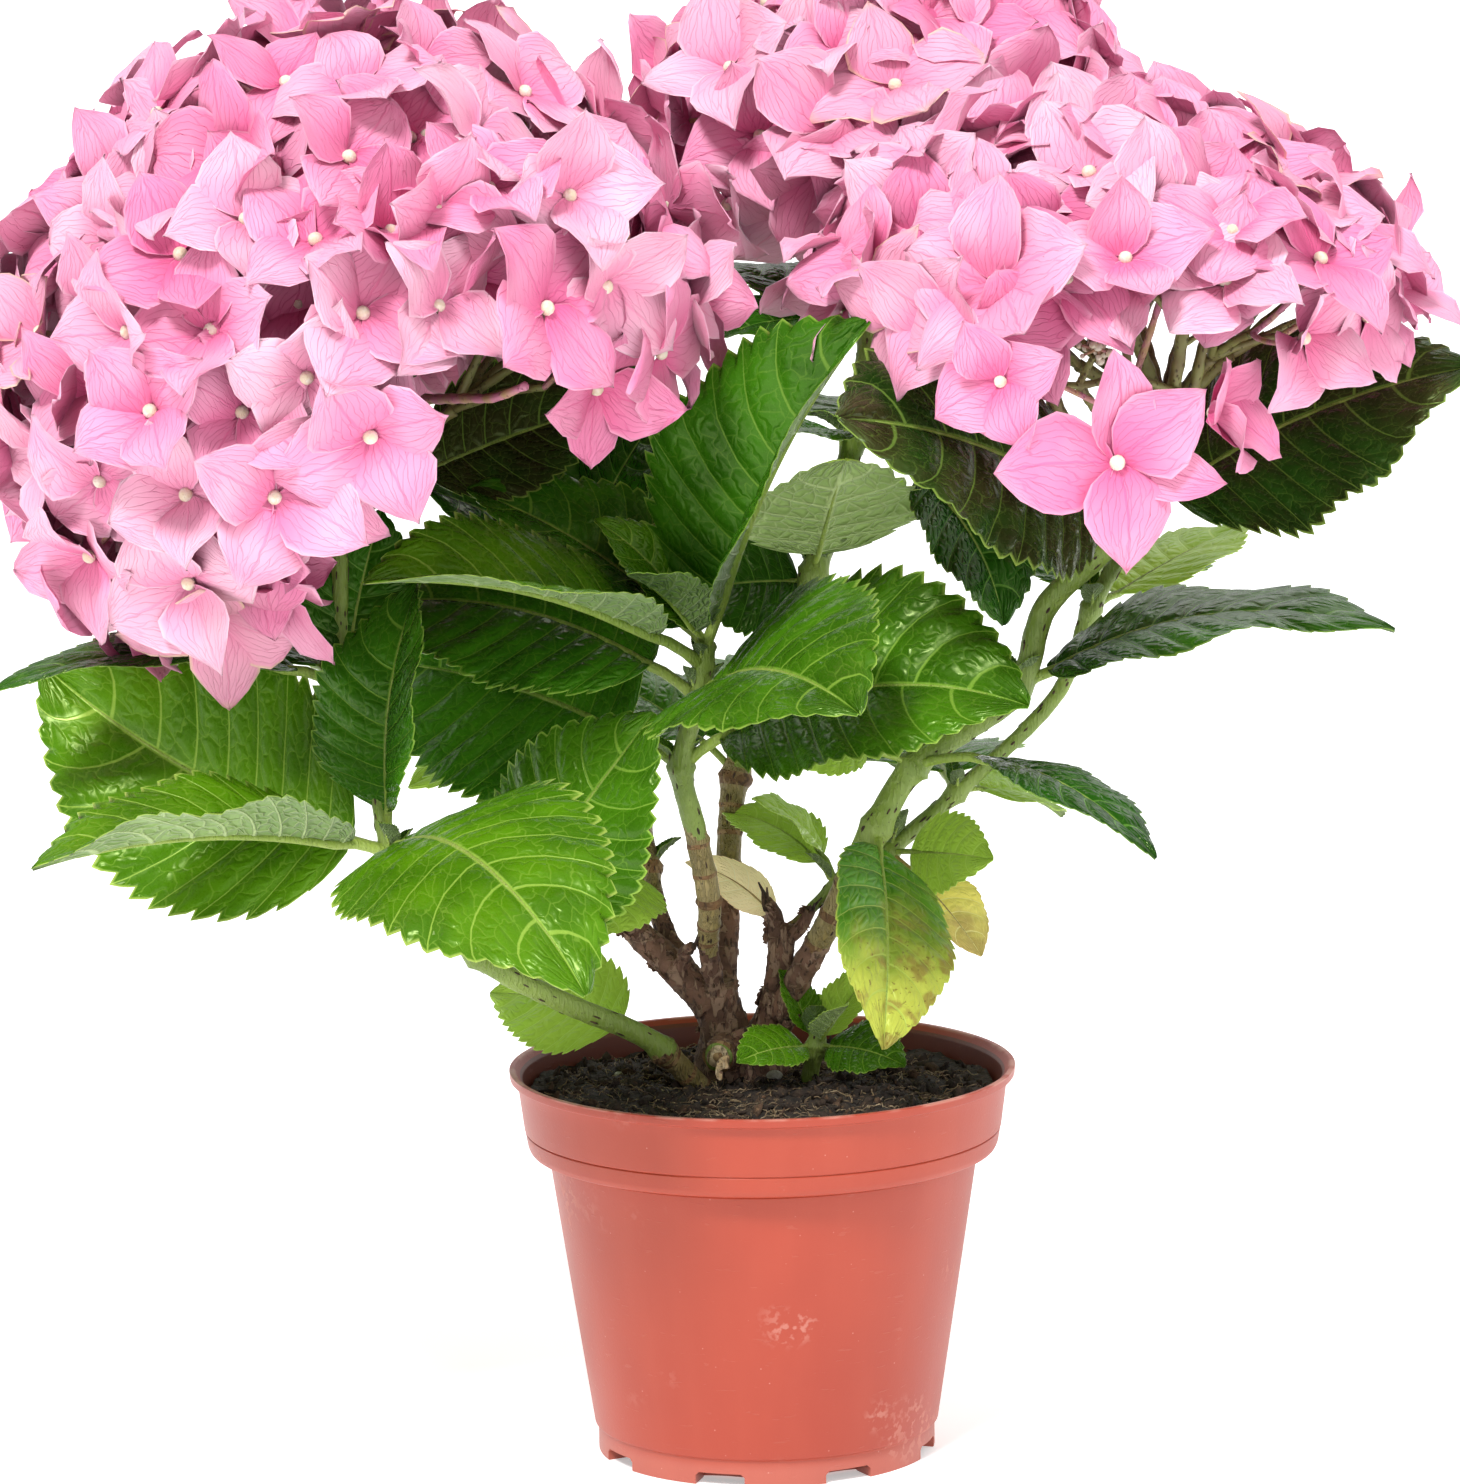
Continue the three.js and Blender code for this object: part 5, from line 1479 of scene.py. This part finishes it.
def add_fertile_tuft(stalks, buds, start, way, rng):
    """A tuft of tiny unopened fertile flowers between the stalks of the florets."""
    for _ in range(int(rng.integers(3, 7))):
        aim = unit(way + rng.uniform(-0.75, 0.75, 3))
        end = start + aim * rng.uniform(5, 11)
        stalks.add_tube(bent_path(start, end, aim * 0.2, len(THREAD), rng), THREAD, 5, STALK)
        radius, slot = rng.uniform(0.8, 1.35), PINK_BUD if rng.random() < 0.35 else PALE_BUD
        add_bud(buds, end + aim * 0.6, basis_of(aim), radius, rng, slot)


def add_front_rays(stalks, buds, rng):
    """The rays in the right-hand head's open front, with a closed bloom and a dried tuft on them."""
    for places, thick, thin in FRONT_RAYS:
        grow_ray(stalks, curve_through(places, 26), thick, thin, STALK if thick < 1 else RAY, rng)
    for k in range(5):
        aim = unit(rng.uniform(-1, 1, 3) + np.array([0, -0.4, 0.4]))
        radius, slot = rng.uniform(2.1, 2.7), PALE_BUD if k % 2 else PINK_BUD
        add_bud(buds, np.array(CLOSED_BLOOM) + aim * 1.6, basis_of(aim), radius, rng, slot)
    for _ in range(22):
        aim = unit(rng.uniform(-1, 1, 3))
        centre = np.array(DRIED_TUFT) + aim * rng.uniform(1, 4.4) * np.array([1.2, 0.8, 0.8])
        stalks.add_tube(bent_path(DRIED_TUFT, centre, aim * 0.3, len(THREAD), rng), THREAD, 5, STALK)
        add_bud(buds, centre, basis_of(aim), rng.uniform(0.6, 1.4), rng)


def floret_specs(name, layer, rng):
    """The florets of a head's layer: centre, normal, spin, size, slot, openness and sepals."""
    head, upper = HEADS[name], layer == "florets"
    heroes = HERO_FLORETS[name] if upper else []
    shares = TINT_SHARES if upper else UNDER_TINT_SHARES
    size = FLORET_DEPTH if upper else UNDER_DEPTH
    for k, (polar, azimuth, face, rise, spin, scale, openness) in enumerate(heroes):
        tint = int(rng.choice(len(shares), p=shares))
        centre, sepals = dome_place(head, polar, azimuth, HERO_SIZE), 5 if (name, k) in FIVE_SEPALS else 4
        yield centre, heading(face, rise), spin, scale, tint, openness, sepals
    count = head["florets" if upper else "under"]
    for polar, azimuth in spread_florets(head, count, size, heroes, rng):
        centre = dome_place(head, polar, azimuth, size * rng.uniform(0.95, 1.03))
        outward = dome_normal(head, polar, azimuth) * np.array([1, 1, 0.72 if polar < 90 else 1])
        normal = unit(outward + rng.uniform(-0.34, 0.34, 3))
        tint = int(rng.choice(len(shares), p=shares))
        openness, sepals = rng.uniform(10, 34), 5 if rng.random() < FIVE_SEPALS_SHARE else 4
        scale = rng.uniform(0.82, 1.04)
        yield centre, normal, rng.uniform(0, 90), scale, tint, openness, sepals
    placed = HANGING_FLORETS if name == "flower_head_right" else FILLING_FLORETS.get(name, [])
    for centre, aim, spin, scale, openness, sepals in placed if upper else []:
        yield np.array(centre, float), heading(*aim), spin, scale, PLACED_TINT, openness, sepals


def make_heads():
    """The three flower heads: florets in two layers, on rays that fork from the stem's tip."""
    petal_finishes = dressed(sepal_material, [(name, *tones) for name, tones in SEPAL_TINTS.items()])
    ray_finishes, bud_finishes = dressed(ray_material, RAY_FINISHES), dressed(bud_material, BUD_FINISHES)
    for index, (name, head) in enumerate(HEADS.items()):
        rng = np.random.default_rng(SEED + 10 + index)
        buds, stalks = Gatherer(), Gatherer()
        side = name.replace("flower_head_", "")
        standing = []
        for layer, grid, nodes in (("florets", "grid", [name]), ("under_florets", "under_grid", [])):
            petals = Gatherer("Sepal", "OFBake")
            for centre, normal, *rest in floret_specs(name, layer, rng):
                add_floret(petals, buds, centre, normal, *rest, rng, SEPAL[grid])
                standing.append((centre, normal))
            settle(petals.build(layer + "_" + side, petal_finishes), "sepal", *nodes)
        grow_rays(stalks, buds, head["hub"], standing, rng)
        if name == "flower_head_right":
            add_front_rays(stalks, buds, rng)
        if name == "flower_head_left":
            places, thick, thin = NOTCH_RAY
            grow_ray(stalks, curve_through(places, 24), thick, thin, STALK, rng)
        settle(stalks.build("rays_" + side, ray_finishes), "green_stem")
        settle(buds.build("buds_" + side, bud_finishes), "sepal")


# ---- the pot and its soil -----------------------------------------------------------------

POT_SIDES, POT_STEP = 168, 4.0  # round it, and the longest stretch of its profile
CORNER_RADIUS = 0.35  # of the eased corners of the profile
SHARP_TURN = 32  # degrees, over which the pot's edges are sharp
SOIL_GRID = (66, 160)
CRUMBS = 1500
FIBRES = 560
PEBBLES = [(3.4, 8, 2.3), (-22, -50, 1.0), (38, -30, 0.9), (-40, 20, 1.3), (30, 44, 1.5)]  # x, y and radius
COMPOST, CRUMB, CHIP, FIBRE, PEBBLE = range(5)
SOIL_FINISHES = [
    (soil_material, "compost", "#35281f", "#211a16", "#6b5138"),
    (soil_material, "compost_crumb", "#3d2e23", "#291f19", "#7a5c3e"),
    (soil_material, "bark_chip", "#5e4532", "#453224", "#8a6a4a"),
    (bark_material, "fibre", "#8e7658", "#665340", "#bba585"),
    (soil_material, "pebble", "#cdc9bf", "#b4aea2", "#e6e3dc"),
]


def rounded(profile, radius, steps=4):
    """A profile with its corners eased by short curves."""
    points = [np.array(p, float) for p in profile]
    out = [points[0]]
    for before, here, after in zip(points, points[1:], points[2:]):
        back, on = before - here, after - here
        cut = min(radius, 0.4 * np.linalg.norm(back), 0.4 * np.linalg.norm(on))
        start, stop = here + unit(back) * cut, here + unit(on) * cut
        t = np.linspace(0, 1, steps)[:, None]
        out.extend((1 - t) ** 2 * start + 2 * t * (1 - t) * here + t**2 * stop)
    out.append(points[-1])
    return np.array(out)


def finer(profile, step):
    """A profile with no stretch longer than a step."""
    out = [profile[0]]
    for a, b in zip(profile, profile[1:]):
        count = max(1, math.ceil(np.linalg.norm(b - a) / step))
        out.extend(a + (b - a) * np.linspace(0, 1, count + 1)[1:, None])
    return np.array(out)


def turned(profile, sides):
    """Rings of places round the upright axis, from radii and heights."""
    angle = angles_round(sides)
    radius, height = np.asarray(profile, float).T[..., None]
    return np.stack([radius * np.cos(angle), radius * np.sin(angle), height + 0 * angle], axis=-1)


def make_pot():
    """The pot: a thin wall with a deep collar, a fine step over its foot, and slots in the foot."""
    height, groove = POT["height"], POT["height"] - POT["collar_depth"]
    lip, step = height - POT["lip_height"], groove - POT["chamfer_drop"]
    rim, collar_top, collar = POT["rim_radius"], POT["collar_top_radius"], POT["collar_bottom_radius"]
    body, line, foot = POT["body_top_radius"], POT["foot_line_radius"], POT["foot_radius"]
    foot_top, wall, floor = POT["foot_height"], POT["wall"], POT["floor"]
    profile = [
        (0, 0.6), (foot - 9, 0.6), (foot - 7.5, 0), (foot, 0), (foot, foot_top - 0.8), (line, foot_top),
        (body + 0.2, groove - 7.1), (body - 0.5, groove - 6.5), (body + 0.1, groove - 6.0),
        (collar - 2.4, groove - 6.0), (collar - 1.5, groove - 5.5), (collar - 0.9, groove - 4.2),
        (collar - 0.2, groove - 0.3), (collar - 0.6, groove), (collar, groove + 0.3),
        (collar_top, lip - 0.5), (rim - 0.2, lip), (rim, height), (rim - wall, height),
        (collar_top - wall, lip), (collar - wall, groove), (body - wall, step),
        (foot - wall, floor + 0.4), (0, floor),
    ]
    profile = finer(rounded(profile, CORNER_RADIUS), POT_STEP)[1:-1]
    places = turned(profile, POT_SIDES)
    oval = 1 + 0.0012 * np.sin(2 * angles_round(POT_SIDES) + 0.7) * (profile[:, 1:] / height)
    places[..., :2] *= oval[..., None]
    shell = Gatherer()
    shell.add_grid(places[:, ::-1])
    pot = shell.build("pot_body", [pot_material()])
    cut_slots(pot)
    pot.data.polygons.foreach_set("use_smooth", np.ones(len(pot.data.polygons), bool))
    pot.data.set_sharp_from_angle(angle=math.radians(SHARP_TURN))
    settle(pot, "pot", "pot")


def cut_slots(pot):
    """Cuts the slots where the pot's wall meets its floor, which let the water out."""
    slots = Gatherer()
    half, top = DRAIN_SLOTS["width"] / 2, DRAIN_SLOTS["height"]
    across = [(-half, -2), (half, -2), (half, top - 1), (half - 1, top), (1 - half, top), (-half, top - 1)]
    for k in range(DRAIN_SLOTS["count"]):
        angle = math.radians(DRAIN_SLOTS["first_azimuth"] + 360 / DRAIN_SLOTS["count"] * k)
        out = np.array([math.cos(angle), math.sin(angle), 0])
        side = np.array([-math.sin(angle), math.cos(angle), 0])
        ring = np.array([side * y + np.array([0, 0, z]) for y, z in across])
        slots.add_grid(np.stack([ring + out * DRAIN_SLOTS["inner_radius"], ring + out * POT["rim_radius"]]))
    cutter = slots.build("drain_slots", [])
    cut = pot.modifiers.new("slots", "BOOLEAN")
    cut.object = cutter
    cut.solver = "EXACT"
    bpy.context.view_layer.update()
    done = bpy.data.meshes.new_from_object(pot.evaluated_get(bpy.context.evaluated_depsgraph_get()))
    pot.modifiers.clear()
    pot.data = done
    bpy.data.objects.remove(cutter)


def soil_height(x, y):
    """The height of the soil's lumpy top."""
    edge = POT["collar_bottom_radius"] - POT["wall"] - 0.2
    away = np.hypot(x - CROWN_CENTRE[0], y - CROWN_CENTRE[1]) - SOIL["flat_radius"]
    slope = (-y / edge) * SOIL["slope_to_front"] + 1.3 * np.sin(x * 0.21 + 1) * np.cos(y * 0.17 + x * 0.05)
    flat = np.stack(np.broadcast_arrays(x, y, 0 * x), axis=-1)
    lumps = 1.1 * rough(flat, 7.0, 3.0) + 0.7 * rough(flat, 2.6, 9.0) + 0.4 * rough(flat, 1.1, 5.0)
    return SOIL["level"] + np.clip(away / 12, 0, 1) * slope + lumps


def make_soil():
    """Dark compost: a lumpy top, loose crumbs, fibres, chips of bark and a few pebbles."""
    rng = np.random.default_rng(SEED + 2)
    wall, bottom = POT["wall"], POT["floor"] + 1
    edge = POT["collar_bottom_radius"] - wall - 0.25
    rings, sides = SOIL_GRID
    top = turned([(share * edge, 0) for share in np.linspace(0.006, 1, rings)], sides)
    top[..., 2] = soil_height(top[..., 0], top[..., 1])
    sunk = [(edge - 1.6, 91), (POT["body_top_radius"] - wall - 0.4, 84),
            (POT["foot_radius"] - wall - 1, bottom), (2, bottom)]
    ground = Gatherer()
    ground.add_grid(np.concatenate([top, turned(sunk, sides)])[:, ::-1], COMPOST)
    add_crumbs(ground, rng, edge)
    add_fibres(ground, rng, edge)
    finishes = [material(*looks) for material, *looks in SOIL_FINISHES]
    settle(ground.build("compost_top", finishes), "soil", "soil")


def scatter(rng, edge):
    """A random place on the soil, inside an edge."""
    away = edge * math.sqrt(rng.uniform(0, 0.985))
    angle = rng.uniform(0, 2 * np.pi)
    x, y = away * math.cos(angle), away * math.sin(angle)
    return np.array([x, y, soil_height(x, y)])


def add_crumbs(ground, rng, edge):
    """Loose lumps of compost and bark, bedded in the top, with a few pale pebbles."""
    for _ in range(CRUMBS):
        size = 0.5 + 2.1 * rng.random() ** 3
        finish = CRUMB if rng.random() < 0.86 else CHIP
        rings, sides = (5, 6) if size > 1.6 else (4, 5)
        radii = size * rng.uniform([0.7, 0.4, 0.15], [1.7, 1.0, 0.6])
        centre = scatter(rng, edge - size - 0.4) + [0, 0, size * 0.15]
        turn = basis_of(rng.normal(size=3), rng.uniform(0, 6.3))
        bumps = 1 + 0.38 * rng.uniform(-1, 1, (rings, sides, 1))
        ground.add_grid(ball_places((0, 0, 0), radii, rings, sides, turn) * bumps + centre, finish)
    for x, y, size in PEBBLES:
        centre = (x, y, soil_height(x, y) + size * 0.3)
        ground.add_grid(ball_places(centre, (size, size * 0.8, size * 0.65), 10, 14), PEBBLE)


def add_fibres(ground, rng, edge):
    """Thin bent roots and fibres that lie on the top."""
    steps = 7
    for _ in range(FIBRES):
        start = scatter(rng, edge - 6)
        angle = rng.uniform(0, 2 * np.pi)
        length = rng.uniform(3, 12)
        path = [start + [0, 0, 0.3]]
        for _ in range(steps - 1):
            angle += rng.uniform(-0.5, 0.5)
            here = path[-1] + np.array([math.cos(angle), math.sin(angle), 0]) * length / steps
            if math.hypot(here[0], here[1]) > edge - 1:
                break
            here[2] = soil_height(here[0], here[1]) + rng.uniform(0.1, 1.3)
            path.append(here)
        if len(path) > 3:
            radius = rng.uniform(0.1, 0.27)
            ground.add_tube(np.array(path), np.linspace(radius, radius * 0.5, len(path)), 4, FIBRE)


# ---- the studio ---------------------------------------------------------------------------

CAMERA = {"place": (-7.7, -2164.9, 579.3), "pitch": 9.97, "roll": -0.77, "lens": 194.07, "sensor": 36}
WORLD_LIGHT = 0.56
STUDIO_WALLS = (-0.9, 0.5, 0.35, 1.15)  # from the dark wall behind the camera to the bright one it faces
SUNS = [
    # name, azimuth and rise that it shines from, width in degrees, strength
    ("key", -114, 52, 14, 2.85),
    ("fill", -50, 30, 60, 0.7),
    ("back", 80, 48, 60, 0.6),
]
BOUNCES = (2, 2, 1)  # of the light, in all, off matt surfaces and off glossy ones
WHITE = (1.0, 1.0, 1.0, 1.0)
FLOOR_LOOK = {"Base_Color": WHITE, "Roughness": 0.7, "Emission_Color": WHITE, "Emission_Strength": 0.4}
FLOOR_HALF = 6000.0


def make_camera():
    """The camera at the front, a little over the plant and looking down at it."""
    pitch, roll = math.radians(CAMERA["pitch"]), math.radians(CAMERA["roll"])
    look = Vector((0, math.cos(pitch), -math.sin(pitch)))
    up = Vector((0, math.sin(pitch), math.cos(pitch)))
    right = look.cross(up)
    turned_right = right * math.cos(roll) + up * math.sin(roll)
    turned_up = up * math.cos(roll) - right * math.sin(roll)
    lens = bpy.data.cameras.new("camera")
    lens.lens = CAMERA["lens"]
    lens.sensor_width = CAMERA["sensor"]
    lens.sensor_fit = "AUTO"
    lens.clip_end = 20
    camera = add_object("camera", lens)
    matrix = camera.matrix_world.copy()
    for row in range(3):
        matrix[row] = (turned_right[row], turned_up[row], -look[row], CAMERA["place"][row] * MM)
    camera.matrix_world = matrix
    bpy.context.scene.camera = camera


def make_studio():
    """A plain pale floor, soft white light from all round and a few large soft lamps."""
    floor = Gatherer()
    ends = [-FLOOR_HALF, FLOOR_HALF]
    floor.add_grid(np.array([[(x, y, 0) for x in ends] for y in ends[::-1]]), closed=False)
    floor.build("floor", [Shader("floor_white", **FLOOR_LOOK).material])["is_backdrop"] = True
    world = bpy.data.worlds.new("studio")
    world.use_nodes = True
    tree = world.node_tree
    way = tree.nodes.new("ShaderNodeTexCoord").outputs["Generated"]
    across = tree.nodes.new("ShaderNodeSeparateXYZ")
    ramp = tree.nodes.new("ShaderNodeMapRange")
    for socket, value in zip(("From Min", "From Max", "To Min", "To Max"), STUDIO_WALLS):
        ramp.inputs[socket].default_value = value
    background = tree.nodes["Background"]
    tree.links.new(way, across.inputs[0])
    tree.links.new(across.outputs["Y"], ramp.inputs["Value"])
    tree.links.new(ramp.outputs["Result"], background.inputs["Color"])
    background.inputs["Strength"].default_value = WORLD_LIGHT
    for name, azimuth, rise, width, strength in SUNS:
        lamp = bpy.data.lights.new(name, "SUN")
        lamp.angle = math.radians(width)
        lamp.energy = strength
        turn = Vector(heading(azimuth, rise)).to_track_quat("Z", "Y")
        add_object(name, lamp).rotation_euler = turn.to_euler()
    scene = bpy.context.scene
    scene.world = world
    scene.view_settings.view_transform = "Standard"
    scene.cycles.max_bounces, scene.cycles.diffuse_bounces, scene.cycles.glossy_bounces = BOUNCES


make_camera()
make_studio()
make_pot()
make_soil()
make_stems()
make_leaves()
make_heads()

boxes = {"cad": cad_box, "visual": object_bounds()}
{name: [list(corner) for corner in box] for name, box in boxes.items()}
